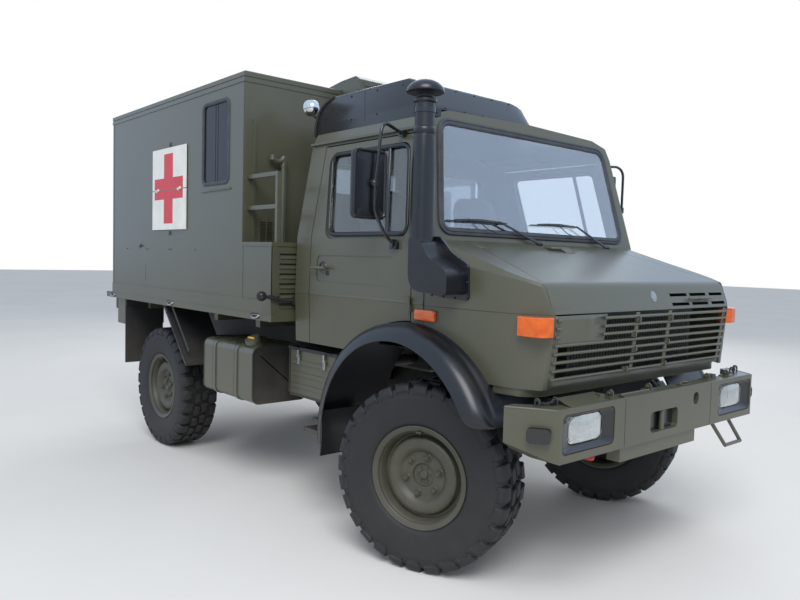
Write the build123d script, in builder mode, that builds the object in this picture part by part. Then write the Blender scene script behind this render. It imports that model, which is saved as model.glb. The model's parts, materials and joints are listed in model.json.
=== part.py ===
import os
from math import cos, pi, radians, sin, tan

from build123d import *

os.makedirs("parts", exist_ok=True)

# Four-wheel-drive field ambulance: short-nosed cab, box body, portal axles
# Millimetres. X forward, Y to the vehicle's left, Z up, wheels on z = 0

# Running gear
wheelbase = 3250
front_axle_x = 1690
rear_axle_x = front_axle_x - wheelbase
track = 1860
tyre_radius = 515
tyre_width = 310
rim_radius = 262
rim_width = 276
flange_radius = 283
fit_gap = 0.5
hub_height = tyre_radius
portal_drop = 110
axle_z = hub_height + portal_drop
axle_tube_radius = 60
kingpin_y = 790
wheel_offset = track / 2 - kingpin_y
spindle_radius = 50
spindle_length = 50
running_gap = 0.05
steer_rest = 20.4
steering_arm_length = 190
pin_radius = 12

# Ladder frame
rail_y = 380
rail_width = 60
rail_bottom = 800
rail_top = 940
rail_front_x = front_axle_x + 860
subframe_top = 1170

# Cab
cab_rear_x = front_axle_x - 1200
cab_nose_x = front_axle_x + 60
cab_wall = 45
cab_bottom_z = 1126
cab_floor_z = 1165
widest_z = 1450
belt_z = 1815
drip_z = 2425
roof_top_z = 2562
panel_gap = 8
seat_gap = 5
screen_foot_x = front_axle_x + 53
screen_foot_z = 1826
screen_rake = 11.95
cab_half = 1010
belt_half = 1000
# Half section of the cab below the drip rail, then of its roof: half width, height
cab_side_points = [(cab_half - 13, cab_bottom_z), (cab_half, widest_z), (belt_half, belt_z), (888, drip_z)]
cab_roof_points = [(850, drip_z + 80), (700, drip_z + 120), (0, roof_top_z)]

# Wheel arch of the cab and front wings
arch_x = front_axle_x - 35
arch_z = 620
arch_radius = 725
arch_inner = 595

# Nose: bonnet, wings and grille
cowl_z = 1800
nose_length = 712
crest_x = cab_nose_x + nose_length
crest_z = 1589
bonnet_lip_x = crest_x + 59
bonnet_lip_z = 1442
grille_foot_x = crest_x + 19
grille_foot_z = 1092
nose_bottom_z = 1082
nose_half = 985
skin = 25
bonnet_rear_x = cab_nose_x + 130
bonnet_rear_half = nose_half - 279
bonnet_front_half = nose_half - 100
grille_half = nose_half - 117
bonnet_gap = 6

# Box body on its deck
box_front_x = front_axle_x - 1643
box_length = 2532
box_rear_x = box_front_x - box_length
box_half = 1165
deck_bottom_z = 1249
deck_thick = 53
deck_top_z = deck_bottom_z + deck_thick
box_height = 1660
box_top_z = deck_top_z + box_height
box_wall = 40
deck_front_x = box_front_x + 398
deck_rear_x = box_rear_x - 165
rail_rear_inset = 110
rail_rear_x = deck_rear_x + rail_rear_inset
locker_height = 473
locker_top_z = deck_top_z + locker_height

# The two sides of the vehicle, with the sign of their Y
sides = [("right", -1), ("left", 1)]
# Far enough past any surface for a cut to pass right through
beyond = 1400


def span(sign, near, far):
    """Low and high Y of a stretch between two distances from the middle, on one side."""
    return tuple(sorted((sign * near, sign * far)))


def block(low, high, mode=Mode.ADD):
    """A box between two opposite corners."""
    size = [b - a for a, b in zip(low, high)]
    middle = [(a + b) / 2 for a, b in zip(low, high)]
    with Locations(tuple(middle)):
        Box(*size, mode=mode)


def rod(start, end, radius, mode=Mode.ADD):
    """A round bar from one point to another."""
    path = Vector(*end) - Vector(*start)
    with BuildSketch(Plane(origin=start, z_dir=path)) as section:
        Circle(radius)
    extrude(section.sketch, amount=path.length, mode=mode)


def bent_rod(points, radius):
    """A round bar through several points, with a ball at each bend."""
    for first, second in zip(points, points[1:]):
        rod(first, second, radius)
    for point in points[1:-1]:
        with Locations(point):
            Sphere(radius)


def side_prism(points, low_y, high_y, mode=Mode.ADD, corner=0):
    """A plate with an outline in X and Z, between two Y values."""
    with BuildSketch(Plane.XZ.offset(-high_y)) as outline:
        Polygon(*points, align=None)
        if corner:
            fillet(outline.vertices(), radius=corner)
    extrude(outline.sketch, amount=high_y - low_y, mode=mode)


def section_prism(points, low_x, high_x, mode=Mode.ADD, corner=0):
    """A plate with an outline in Y and Z, between two X values."""
    with BuildSketch(Plane.YZ.offset(low_x)) as outline:
        Polygon(*points, align=None)
        if corner:
            fillet(outline.vertices(), radius=corner)
    extrude(outline.sketch, amount=high_x - low_x, mode=mode)


def plan_prism(points, low_z, high_z, mode=Mode.ADD):
    """A plate with an outline in X and Y, between two heights."""
    with BuildSketch(Plane.XY.offset(low_z)) as outline:
        Polygon(*points, align=None)
    extrude(outline.sketch, amount=high_z - low_z, mode=mode)


def side_slot(low, high, radius, low_y, high_y, mode=Mode.SUBTRACT):
    """A rounded rectangle in X and Z, low and high corners, between two Y values."""
    with BuildSketch(Plane.XZ.offset(-high_y)) as outline:
        with Locations(((low[0] + high[0]) / 2, (low[1] + high[1]) / 2)):
            RectangleRounded(high[0] - low[0], high[1] - low[1], radius)
    extrude(outline.sketch, amount=high_y - low_y, mode=mode)


def front_slot(low, high, radius, low_x, high_x, mode=Mode.SUBTRACT):
    """A rounded rectangle in Y and Z, low and high corners, between two X values."""
    with BuildSketch(Plane.YZ.offset(low_x)) as outline:
        with Locations(((low[0] + high[0]) / 2, (low[1] + high[1]) / 2)):
            RectangleRounded(high[0] - low[0], high[1] - low[1], radius)
    extrude(outline.sketch, amount=high_x - low_x, mode=mode)


def keep(part, name):
    """Name a finished part and write its STEP file."""
    part.label = name
    export_step(part, f"parts/{name}.step")


# Ladder frame: two rails with the box's subframe, cross tubes and the rear tow jaw
rail_low = rail_y - rail_width / 2
rail_high = rail_y + rail_width / 2
cross_tube_radius = 42
cross_tube_z = (rail_bottom + rail_top) / 2
cross_tube_offsets = [780, 330, -700, -1500, -2500, -3500, -4184]
cab_mount_offsets = [-150, -1050]
cab_mount_half = 50
with BuildPart() as frame_rails:
    for side, sign in sides:
        inner, outer = span(sign, rail_low, rail_high)
        block((rail_rear_x, inner, rail_bottom), (rail_front_x, outer, rail_top))
        block((rail_rear_x, inner, rail_top), (box_front_x, outer, subframe_top))
        for offset_x in cab_mount_offsets:
            x = front_axle_x + offset_x
            block((x - cab_mount_half, inner, rail_top), (x + cab_mount_half, outer, cab_bottom_z))
keep(frame_rails.part, "frame_rails")

with BuildPart() as cross_members:
    for offset_x in cross_tube_offsets:
        x = front_axle_x + offset_x
        rod((x, -rail_low, cross_tube_z), (x, rail_low, cross_tube_z), cross_tube_radius)
keep(cross_members.part, "cross_members")

# Tow jaw: a cross plate on the rails' ends, two ears and one upright pin hole
jaw_z = cross_tube_z + 30
jaw_hole_radius = 20
jaw_gap = 60
jaw_plate = 25
jaw_back = 20
jaw_half = 60
jaw_rear_x = deck_rear_x
jaw_x = jaw_rear_x + 38
with BuildPart() as tow_jaw:
    block((rail_rear_x - jaw_back, -rail_high, rail_bottom), (rail_rear_x, rail_high, rail_top))
    for low_z in (jaw_z - jaw_gap / 2 - jaw_plate, jaw_z + jaw_gap / 2):
        block((jaw_rear_x, -jaw_half, low_z), (rail_rear_x - jaw_back, jaw_half, low_z + jaw_plate))
    block(
        (rail_rear_x - 2 * jaw_back, -jaw_half, jaw_z - jaw_gap / 2),
        (rail_rear_x - jaw_back, jaw_half, jaw_z + jaw_gap / 2),
    )
    rod((jaw_x, 0, rail_bottom), (jaw_x, 0, rail_top + jaw_gap), jaw_hole_radius, mode=Mode.SUBTRACT)
keep(tow_jaw.part, "tow_jaw")

# Engine and gearbox: the engine is one plain block, the transfer case and shaft hang between the rails
engine_half = 240
engine_top_z = 1500
gearbox_half = 170
gearbox_top_z = 1080
gearbox_rear_x = front_axle_x - 640
transfer_front_x = front_axle_x - 250
transfer_bottom_z = 620
shaft_z = axle_z + 65
shaft_radius = 50
diff_radius = 150
with BuildPart() as engine_gearbox:
    block(
        (cab_nose_x + 20, -engine_half, cross_tube_z + cross_tube_radius),
        (front_axle_x + 690, engine_half, engine_top_z),
    )
    block((gearbox_rear_x, -gearbox_half, rail_bottom), (cab_nose_x + 20, gearbox_half, gearbox_top_z))
    block((gearbox_rear_x, -gearbox_half, transfer_bottom_z), (transfer_front_x, gearbox_half, rail_bottom))
    rod((gearbox_rear_x, 0, shaft_z), (rear_axle_x + diff_radius + 2, 0, axle_z + 5), shaft_radius)
keep(engine_gearbox.part, "engine_gearbox")

# Axles: tube, differential, coil springs and dampers up to the rails
portal_radius = 95
portal_inner = 55
portal_outer = 105
tube_half = 660
spring_y = 540
spring_radius = 62
spring_core = 48
spring_ribs = 6
spring_foot = 85
seat_z = rail_top - 30
seat_plate = 20
seat_half = 75
damper_y = 470
damper_x = 130
damper_radius = 24


def axle_body(x):
    """Axle tube, differential, spring seats, ribbed springs and dampers at one axle."""
    rod((x, -tube_half, axle_z), (x, tube_half, axle_z), axle_tube_radius)
    with Locations((x, 0, axle_z)):
        Sphere(diff_radius)
    for side, sign in sides:
        y = sign * spring_y
        rod((x, y, axle_z), (x, y, axle_z + spring_foot), spring_radius + 12)
        bottom = axle_z + spring_foot
        pitch = (seat_z - bottom) / spring_ribs
        rod((x, y, bottom), (x, y, seat_z), spring_core)
        for rib in range(spring_ribs):
            low = bottom + rib * pitch
            rod((x, y, low + pitch * 0.2), (x, y, low + pitch * 0.75), spring_radius)
        inner, outer = span(sign, rail_high, spring_y + spring_radius + 18)
        block((x - seat_half, inner, seat_z), (x + seat_half, outer, seat_z + seat_plate))
        rod((x - damper_x, sign * damper_y, axle_z), (x - damper_x, sign * damper_y, seat_z), damper_radius)
        rod((x - damper_x, sign * damper_y, axle_z), (x, sign * damper_y, axle_z), damper_radius - 2)
        inner, outer = span(sign, rail_high, damper_y + 30)
        block((x - damper_x - 30, inner, seat_z - seat_plate), (x - damper_x + 30, outer, seat_z))


yoke_half = 40
yoke_low = axle_z - 120
yoke_high = axle_z + 120
yoke_plate = 20
yoke_reach = 30
yoke_web = 55
kingpin_radius = 18
with BuildPart() as front_axle:
    axle_body(front_axle_x)
    for side, sign in sides:
        near, far = span(sign, kingpin_y - yoke_web - yoke_plate, kingpin_y - yoke_web)
        block((front_axle_x - yoke_half, near, yoke_low), (front_axle_x + yoke_half, far, yoke_high))
        near, far = span(sign, tube_half - 5, kingpin_y - yoke_web)
        rod((front_axle_x, near, axle_z), (front_axle_x, far, axle_z), axle_tube_radius)
        near, far = span(sign, kingpin_y - yoke_web, kingpin_y + yoke_reach)
        for low_z in (yoke_low, yoke_high - yoke_plate):
            block(
                (front_axle_x - yoke_half, near, low_z),
                (front_axle_x + yoke_half, far, low_z + yoke_plate),
            )
        rod(
            (front_axle_x, sign * kingpin_y, yoke_low - 10),
            (front_axle_x, sign * kingpin_y, yoke_high + 10),
            kingpin_radius + running_gap,
            mode=Mode.SUBTRACT,
        )
keep(front_axle.part, "front_axle")

with BuildPart() as rear_axle:
    axle_body(rear_axle_x)
    for side, sign in sides:
        start = sign * (kingpin_y + portal_inner)
        end = sign * (kingpin_y + portal_outer)
        rod((rear_axle_x, sign * (tube_half - 5), axle_z), (rear_axle_x, start, axle_z), portal_radius - 15)
        rod((rear_axle_x, start, axle_z), (rear_axle_x, end, axle_z), portal_radius)
        rod((rear_axle_x, start, hub_height), (rear_axle_x, end, hub_height), portal_radius)
        low_y, high_y = sorted((start, end))
        block(
            (rear_axle_x - portal_radius, low_y, hub_height),
            (rear_axle_x + portal_radius, high_y, axle_z),
        )
        rod(
            (rear_axle_x, end, hub_height),
            (rear_axle_x, sign * (track / 2 + spindle_length - fit_gap), hub_height),
            spindle_radius,
        )
keep(rear_axle.part, "rear_axle")

# Steering knuckles, turned to the left as the truck is parked
arm_thick = 25
arm_width = 50
arm_z = yoke_low - arm_thick - 10
knuckle_gap = 5
knuckle_low = yoke_low + yoke_plate + knuckle_gap
knuckle_high = yoke_high - yoke_plate - knuckle_gap
knuckle_length = 90
knuckle_width = 80


def knuckle_plane(sign):
    """Plane on the ground under the kingpin, its X pointing the way the wheel rolls."""
    heading = (cos(radians(steer_rest)), sin(radians(steer_rest)), 0)
    return Plane(origin=(front_axle_x, sign * kingpin_y, 0), x_dir=heading, z_dir=(0, 0, 1))


def on_knuckle(sign, x, y, z):
    """A point given ahead of and outboard of the kingpin, as a tuple in the vehicle's frame."""
    point = knuckle_plane(sign).from_local_coords(Vector(x, sign * y, z))
    return (point.X, point.Y, point.Z)


for side, sign in sides:
    frame_plane = knuckle_plane(sign)
    with BuildPart() as knuckle:
        with BuildSketch(frame_plane.offset(knuckle_low)):
            with Locations((0, sign * (portal_inner + knuckle_gap - knuckle_width / 2))):
                Rectangle(knuckle_length, knuckle_width)
        extrude(amount=knuckle_high - knuckle_low)
        for drop_z in (axle_z, hub_height):
            rod(
                on_knuckle(sign, 0, portal_inner, drop_z),
                on_knuckle(sign, 0, portal_outer, drop_z),
                portal_radius,
            )
        with BuildSketch(frame_plane.offset(hub_height)):
            with Locations((0, sign * (portal_inner + portal_outer) / 2)):
                Rectangle(2 * portal_radius, portal_outer - portal_inner)
        extrude(amount=axle_z - hub_height)
        rod(
            on_knuckle(sign, 0, portal_outer, hub_height),
            on_knuckle(sign, 0, wheel_offset + spindle_length - fit_gap, hub_height),
            spindle_radius,
        )
        rod(on_knuckle(sign, 0, 0, knuckle_high), on_knuckle(sign, 0, 0, yoke_high + 12), kingpin_radius)
        rod(on_knuckle(sign, 0, 0, arm_z), on_knuckle(sign, 0, 0, knuckle_low), kingpin_radius)
        with BuildSketch(frame_plane.offset(arm_z)):
            with Locations((-steering_arm_length / 2, 0)):
                SlotCenterToCenter(steering_arm_length, arm_width)
        extrude(amount=arm_thick)
        rod(
            on_knuckle(sign, -steering_arm_length, 0, arm_z - arm_thick),
            on_knuckle(sign, -steering_arm_length, 0, arm_z + 2 * arm_thick),
            pin_radius + running_gap,
            mode=Mode.SUBTRACT,
        )
    keep(knuckle.part, f"knuckle_{side}")

# Track rod between the two steering arms
rod_radius = 16
joint_radius = 26
rod_z = arm_z - joint_radius
with BuildPart() as track_rod:
    ends = [on_knuckle(sign, -steering_arm_length, 0, rod_z) for side, sign in sides]
    rod(ends[0], ends[1], rod_radius)
    for end_x, end_y, end_z in ends:
        rod((end_x, end_y, end_z - 20), (end_x, end_y, end_z + 20), joint_radius)
        rod((end_x, end_y, end_z), (end_x, end_y, arm_z + arm_thick + 10), pin_radius)
keep(track_rod.part, "track_rod")

# Wheel: dished steel disc with six studs, on its own axis with outboard along Z
rim_half = rim_width / 2
lip = 10
hub_face = spindle_length
dish_face = 66
dish_thick = 14
crest_face = 98
# Half section of the rim and disc: radius, distance outboard of the wheel's middle
rim_section = [
    (0, hub_face + 12), (44, hub_face + 12), (56, hub_face + 6), (66, dish_face), (122, dish_face),
    (136, dish_face + 9), (158, crest_face - 4), (180, crest_face), (202, crest_face - 6), (216, dish_face),
    (228, 56), (242, 60), (250, rim_half - 24), (250, rim_half - lip), (272, rim_half),
    (flange_radius, rim_half),
    (flange_radius, rim_half - lip), (rim_radius, rim_half - lip), (rim_radius, lip - rim_half),
    (flange_radius, lip - rim_half), (flange_radius, -rim_half), (250, -rim_half), (250, 40), (220, 42),
    (206, dish_face - dish_thick), (180, crest_face - dish_thick), (150, dish_face),
    (130, dish_face - dish_thick),
    (85, dish_face - dish_thick), (85, -30), (spindle_radius + running_gap, -30),
    (spindle_radius + running_gap, hub_face), (0, hub_face),
]
stud_circle = 102.5
stud_count = 6
stud_radius = 13
stud_height = 18


def wheel_place(axle, sign):
    """Where a wheel built on its own axis goes: outboard along Z, up along X."""
    if axle == "front":
        middle = on_knuckle(sign, 0, wheel_offset, hub_height)
        outward = (-sign * sin(radians(steer_rest)), sign * cos(radians(steer_rest)), 0)
    else:
        middle = (rear_axle_x, sign * track / 2, hub_height)
        outward = (0, sign, 0)
    return Plane(origin=middle, x_dir=(0, 0, 1), z_dir=outward).location


with BuildPart() as wheel:
    with BuildSketch(Plane.XZ):
        with BuildLine():
            Polyline(*rim_section, close=True)
        make_face()
    revolve(axis=Axis.Z)
    with BuildSketch(Plane.XY.offset(dish_face)):
        with PolarLocations(stud_circle, stud_count):
            RegularPolygon(stud_radius, 6)
    extrude(amount=stud_height)

# Tyre: flat-sided rings, and 28 lugs to each side of the tread, staggered by half a lug
lug_count = 28
lug_share = 0.46
lug_root = 489
tread_half = 128
tyre_half = tyre_width / 2
shoulder_drop = 4
shoulder_foot = 468
wall_top = 430
bead_half = rim_half - lip - fit_gap
bead_radius = flange_radius + 2
ring_sides = 20
# Corner radius of a ring whose flats lie at radius one
ring_corner = 1 / cos(pi / ring_sides)


def lug_outline(turn):
    """Gear outline of the tread: each lug's flanks point at the axle."""
    points = []
    pitch = 2 * pi / lug_count
    corners = ((0, lug_root), (0, tyre_radius), (lug_share, tyre_radius), (lug_share, lug_root))
    for lug in range(lug_count):
        for share, radius in corners:
            angle = (lug + turn + share) * pitch
            points.append((radius * cos(angle), radius * sin(angle)))
    return points


def ring_loft(first, second, sides_count, mode=Mode.ADD):
    """Flat-sided ring between two (height, corner radius) pairs."""
    with BuildPart(mode=Mode.PRIVATE) as ring:
        for height, radius in (first, second):
            with BuildSketch(Plane.XY.offset(height)):
                RegularPolygon(radius, sides_count)
        loft(ruled=True)
    add(ring.part, mode=mode)


with BuildPart() as tyre:
    for way, turn in ((1, 0), (-1, 0.5)):
        with BuildSketch():
            Polygon(*lug_outline(turn), align=None)
        extrude(amount=way * tread_half)
        ring_loft(
            (way * tread_half, lug_root - shoulder_drop), (way * tyre_half, shoulder_foot), lug_count
        )
    for way in (1, -1):
        ring_loft(
            (way * bead_half, bead_radius * ring_corner), (way * (tyre_half + 1), wall_top * ring_corner),
            ring_sides, mode=Mode.SUBTRACT,
        )
    with BuildSketch(Plane.XY.offset(-tyre_half)):
        RegularPolygon((rim_radius + fit_gap) * ring_corner, ring_sides)
    extrude(amount=tyre_width, mode=Mode.SUBTRACT)

for axle in ("front", "rear"):
    for side, sign in sides:
        keep(wheel.part.moved(wheel_place(axle, sign)), f"wheel_{axle}_{side}")
        keep(tyre.part.moved(wheel_place(axle, sign)), f"tyre_{axle}_{side}")

# Cab: the room inside, the door openings, then shell, roof, doors and glass
screen_normal = (cos(radians(screen_rake)), 0, sin(radians(screen_rake)))
screen_plane = Plane(
    origin=(screen_foot_x, 0, screen_foot_z),
    x_dir=(0, 1, 0),
    z_dir=screen_normal,
)


def cab_outline(inset):
    """Closed section of the cab, its sides and roof moved in by the inset."""
    half = cab_side_points + cab_roof_points[:-1]
    right = [(-(y - inset), z - (inset if z > drip_z else 0)) for y, z in half]
    top = [(0, roof_top_z - inset)]
    left = [(-y, z) for y, z in reversed(right)]
    return right + top + left


def side_band(sign, near, far):
    """Section of the cab's side wall between two depths below its outer face."""
    outer = [(sign * (y - near), z) for y, z in cab_side_points]
    inner = [(sign * (y - far), z) for y, z in reversed(cab_side_points)]
    return outer + inner


with BuildPart() as cab_block:
    section_prism(cab_outline(0), cab_rear_x, cab_nose_x)
    split(bisect_by=screen_plane, keep=Keep.BOTTOM)

with BuildPart() as cab_room:
    section_prism(cab_outline(cab_wall), cab_rear_x + cab_wall, cab_nose_x - cab_wall)
    split(bisect_by=screen_plane.offset(-cab_wall), keep=Keep.BOTTOM)
    block((cab_rear_x, -beyond, 0), (cab_nose_x, beyond, cab_floor_z), mode=Mode.SUBTRACT)

door_rear_x = front_axle_x - 1030
door_front_x = front_axle_x - 45
door_top_z = drip_z - 25
window_low_z = belt_z + 15
window_high_z = door_top_z - 55
pillar_lean = (door_top_z - belt_z) * tan(radians(screen_rake))
# Door, window and opening outlines: X, Z
door_outline = [
    (door_rear_x, cab_bottom_z), (door_rear_x, door_top_z), (door_front_x - pillar_lean, door_top_z),
    (door_front_x, belt_z), (door_front_x, cab_bottom_z),
]
window_outline = [
    (door_rear_x + 175, window_low_z), (door_rear_x + 75, window_high_z),
    (door_front_x - 165, window_high_z), (door_front_x - 60, window_low_z),
]
window_trim = 26
trim_outline = [
    (door_rear_x + 175 - window_trim, window_low_z - window_trim),
    (door_rear_x + 75 - window_trim, window_high_z + window_trim / 2),
    (door_front_x - 165 + window_trim / 2, window_high_z + window_trim / 2),
    (door_front_x - 60 + window_trim, window_low_z - window_trim),
]
opening_outline = [
    (door_rear_x - panel_gap, cab_bottom_z - 50), (door_rear_x - panel_gap, door_top_z + panel_gap),
    (door_front_x - pillar_lean + panel_gap, door_top_z + panel_gap),
    (door_front_x + panel_gap, belt_z), (door_front_x + panel_gap, cab_bottom_z - 50),
]

door_openings = []
for side, sign in sides:
    low_y, high_y = span(sign, 0, beyond)
    with BuildPart() as opening:
        section_prism(side_band(sign, -30, cab_wall + seat_gap), cab_rear_x, cab_nose_x)
        side_prism(opening_outline, low_y, high_y, mode=Mode.INTERSECT)
    door_openings.append(opening.part)

screen_width_low = 905
screen_width_high = 811
screen_height = 686
screen_corner = 75
gasket = 45
gasket_lip = gasket - 15
gasket_thick = 14


def screen_outline(inset):
    """Windscreen outline on its own plane: across, up, with the corners still sharp."""
    low = screen_width_low - inset
    high = screen_width_high - inset
    return [(-low, inset), (low, inset), (high, screen_height - inset), (-high, screen_height - inset)]


def screen_sketch(inset):
    """Rounded windscreen outline in the active sketch."""
    Polygon(*screen_outline(inset), align=None)


def front_arches(clearance=0):
    """Cuts both front wheel arches through cab sides and wings."""
    for side, sign in sides:
        low_y, high_y = span(sign, arch_inner, beyond)
        rod((arch_x, low_y, arch_z), (arch_x, high_y, arch_z), arch_radius + clearance, mode=Mode.SUBTRACT)


rear_glass_low = (150, belt_z + 65)
rear_glass_high = (720, drip_z - 95)
rear_glass_corner = 50
hinge_radius = 9
door_hinge_x = door_front_x + 4
door_hinge_y = cab_half + 12
# Door hinges: height of the barrel pair's middle
door_hinge_heights = [widest_z - 10, belt_z - 25]
barrel_length = 40
barrel_gap = 0.5
window_corner = 45
drip_out = 18
with BuildPart() as cab_shell:
    add(cab_block.part)
    add(cab_room.part, mode=Mode.SUBTRACT)
    block((cab_rear_x - 10, -beyond, drip_z), (cab_nose_x + 10, beyond, roof_top_z + 50), mode=Mode.SUBTRACT)
    for opening in door_openings:
        add(opening, mode=Mode.SUBTRACT)
    with BuildSketch(screen_plane.offset(10)) as hole:
        screen_sketch(gasket_lip)
        fillet(hole.vertices(), radius=screen_corner - 20)
    extrude(amount=-80, mode=Mode.SUBTRACT)
    front_arches()
    for side, sign in sides:
        low_y, high_y = span(sign, rear_glass_low[0], rear_glass_high[0])
        front_slot(
            (low_y, rear_glass_low[1]), (high_y, rear_glass_high[1]), rear_glass_corner,
            cab_rear_x - 10, cab_rear_x + cab_wall + 15,
        )
        for height in door_hinge_heights:
            rod(
                (door_hinge_x, sign * door_hinge_y, height - barrel_length),
                (door_hinge_x, sign * door_hinge_y, height - barrel_gap / 2),
                hinge_radius,
            )
            near, far = span(sign, door_hinge_y - 40, door_hinge_y)
            block(
                (door_hinge_x + hinge_radius / 2, near, height - barrel_length),
                (door_hinge_x + hinge_radius + 6, far, height - barrel_gap / 2),
            )
keep(cab_shell.part, "cab_shell")

with BuildPart() as cab_roof:
    add(cab_block.part)
    add(cab_room.part, mode=Mode.SUBTRACT)
    block((cab_rear_x - 10, -beyond, 0), (cab_nose_x + 10, beyond, drip_z), mode=Mode.SUBTRACT)
    with BuildSketch(screen_plane.offset(10)) as hole:
        screen_sketch(gasket_lip)
        fillet(hole.vertices(), radius=screen_corner - 20)
    extrude(amount=-80, mode=Mode.SUBTRACT)
    # Gutter along each side
    for side, sign in sides:
        low_y, high_y = span(sign, 888 - drip_out, 888 + drip_out)
        block((cab_rear_x, low_y, drip_z), (door_front_x - pillar_lean + 60, high_y, drip_z + 14))
keep(cab_roof.part, "cab_roof")

# The left door is built, the right one is its mirror image
handle_z = belt_z - 195
handle_y = door_hinge_y + 13
handle_radius = 11
handle_foot_radius = 9
pressing_low = (door_rear_x + 70, handle_z - 90)
pressing_high = (door_front_x - 150, handle_z + 80)
pressing_depth = 5
pressing_corner = 40
trim_depth = 13
with BuildPart() as left_door:
    section_prism(side_band(1, 0, cab_wall), cab_rear_x, cab_nose_x)
    side_prism(door_outline, 0, beyond, mode=Mode.INTERSECT)
    with BuildPart(mode=Mode.SUBTRACT):
        section_prism(side_band(1, -30, trim_depth), cab_rear_x, cab_nose_x)
        side_prism(trim_outline, 0, beyond, mode=Mode.INTERSECT, corner=window_corner + window_trim)
    with BuildPart(mode=Mode.SUBTRACT):
        section_prism(side_band(1, -30, pressing_depth), cab_rear_x, cab_nose_x)
        side_slot(pressing_low, pressing_high, pressing_corner, 0, beyond, mode=Mode.INTERSECT)
    side_prism(window_outline, 0, beyond, mode=Mode.SUBTRACT, corner=window_corner)
    front_arches(seat_gap)
    for height in door_hinge_heights:
        rod(
            (door_hinge_x, door_hinge_y, height + barrel_gap / 2),
            (door_hinge_x, door_hinge_y, height + barrel_length),
            hinge_radius,
        )
        block(
            (door_hinge_x - hinge_radius - 30, door_hinge_y - 30, height + barrel_gap / 2),
            (door_hinge_x - 4, door_hinge_y, height + barrel_length),
        )
    # Pull handle on its two feet
    for foot_x in (door_rear_x + 70, door_rear_x + 190):
        rod((foot_x, cab_half - 20, handle_z), (foot_x, handle_y, handle_z), handle_foot_radius)
    rod((door_rear_x + 55, handle_y, handle_z), (door_rear_x + 205, handle_y, handle_z), handle_radius)

door_parts = {"left": left_door.part, "right": mirror(left_door.part, about=Plane.XZ)}
glass_depth = 18
pane = 6
for side, sign in sides:
    keep(door_parts[side], f"cab_door_{side}")
    low_y, high_y = span(sign, 0, beyond)
    with BuildPart() as door_glass:
        section_prism(side_band(sign, glass_depth, glass_depth + pane), cab_rear_x, cab_nose_x)
        side_prism(window_outline, low_y, high_y, mode=Mode.INTERSECT, corner=window_corner)
    keep(door_glass.part, f"door_glass_{side}")

with BuildPart() as windscreen_gasket:
    with BuildSketch(screen_plane.offset(fit_gap)) as ring:
        screen_sketch(0)
        fillet(ring.vertices(), radius=screen_corner)
    extrude(amount=gasket_thick)
    with BuildSketch(screen_plane.offset(fit_gap)) as lip_ring:
        screen_sketch(gasket_lip + fit_gap)
        fillet(lip_ring.vertices(), radius=screen_corner - 20)
    extrude(amount=-30)
    with BuildSketch(screen_plane.offset(30)) as glazed:
        screen_sketch(gasket)
        fillet(glazed.vertices(), radius=screen_corner - gasket + 10)
    extrude(amount=-80, mode=Mode.SUBTRACT)
    add(cab_shell.part, mode=Mode.SUBTRACT)
    add(cab_roof.part, mode=Mode.SUBTRACT)
keep(windscreen_gasket.part, "windscreen_gasket")

with BuildPart() as cab_glass:
    with BuildSketch(screen_plane.offset(-4)) as screen_pane:
        screen_sketch(gasket + fit_gap)
        fillet(screen_pane.vertices(), radius=screen_corner - gasket + 10)
    extrude(amount=8)
    for side, sign in sides:
        low_y, high_y = span(sign, rear_glass_low[0] + fit_gap, rear_glass_high[0] - fit_gap)
        front_slot(
            (low_y, rear_glass_low[1] + fit_gap), (high_y, rear_glass_high[1] - fit_gap), rear_glass_corner,
            cab_rear_x + 15, cab_rear_x + 15 + pane, mode=Mode.ADD,
        )
keep(cab_glass.part, "cab_glass")

# Nose skin, then the pieces that are cut from it
nose_profile = [
    (cab_nose_x, cowl_z), (crest_x, crest_z), (bonnet_lip_x, bonnet_lip_z),
    (grille_foot_x, grille_foot_z), (grille_foot_x - 2, nose_bottom_z), (cab_nose_x, nose_bottom_z),
]
# Plan of one side: X, distance from the middle
straight_x = front_axle_x + 560
nose_flare = 20
nose_plan = [
    (cab_nose_x, nose_half + nose_flare), (straight_x, nose_half), (straight_x + 140, nose_half - 30),
    (straight_x + 230, nose_half - 85), (straight_x + 300, nose_half - 130),
]

bonnet_slope = (cowl_z - crest_z) / (crest_x - cab_nose_x)
wing_bevel = 65


def nose_volume(inset):
    """The nose as a full block, moved in by the inset, beveled along its top edges."""
    with BuildPart() as nose:
        with BuildSketch(Plane.XZ.offset(-beyond)):
            with BuildLine():
                Polyline(*nose_profile, close=True)
            make_face()
            if inset:
                offset(amount=-inset, kind=Kind.INTERSECTION)
        extrude(amount=2 * beyond)
        right = [(x, -(y - inset)) for x, y in nose_plan]
        left = [(x, y - inset) for x, y in reversed(nose_plan)]
        plan_prism(right + left, 0, cowl_z + 100, mode=Mode.INTERSECT)
        for side, sign in sides:
            edge_y = sign * (nose_half + nose_flare - inset)
            edge_plane = Plane(
                origin=(cab_nose_x - 100, edge_y, cowl_z + 100 * bonnet_slope - inset),
                x_dir=(0, sign, 0),
                z_dir=(1, 0, -bonnet_slope),
            )
            with BuildSketch(edge_plane):
                Polygon((-wing_bevel, 0), (90, 0), (90, -sign * (wing_bevel + 90)), align=None)
            extrude(amount=crest_x - cab_nose_x + 400, mode=Mode.SUBTRACT)
    return nose.part


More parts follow.
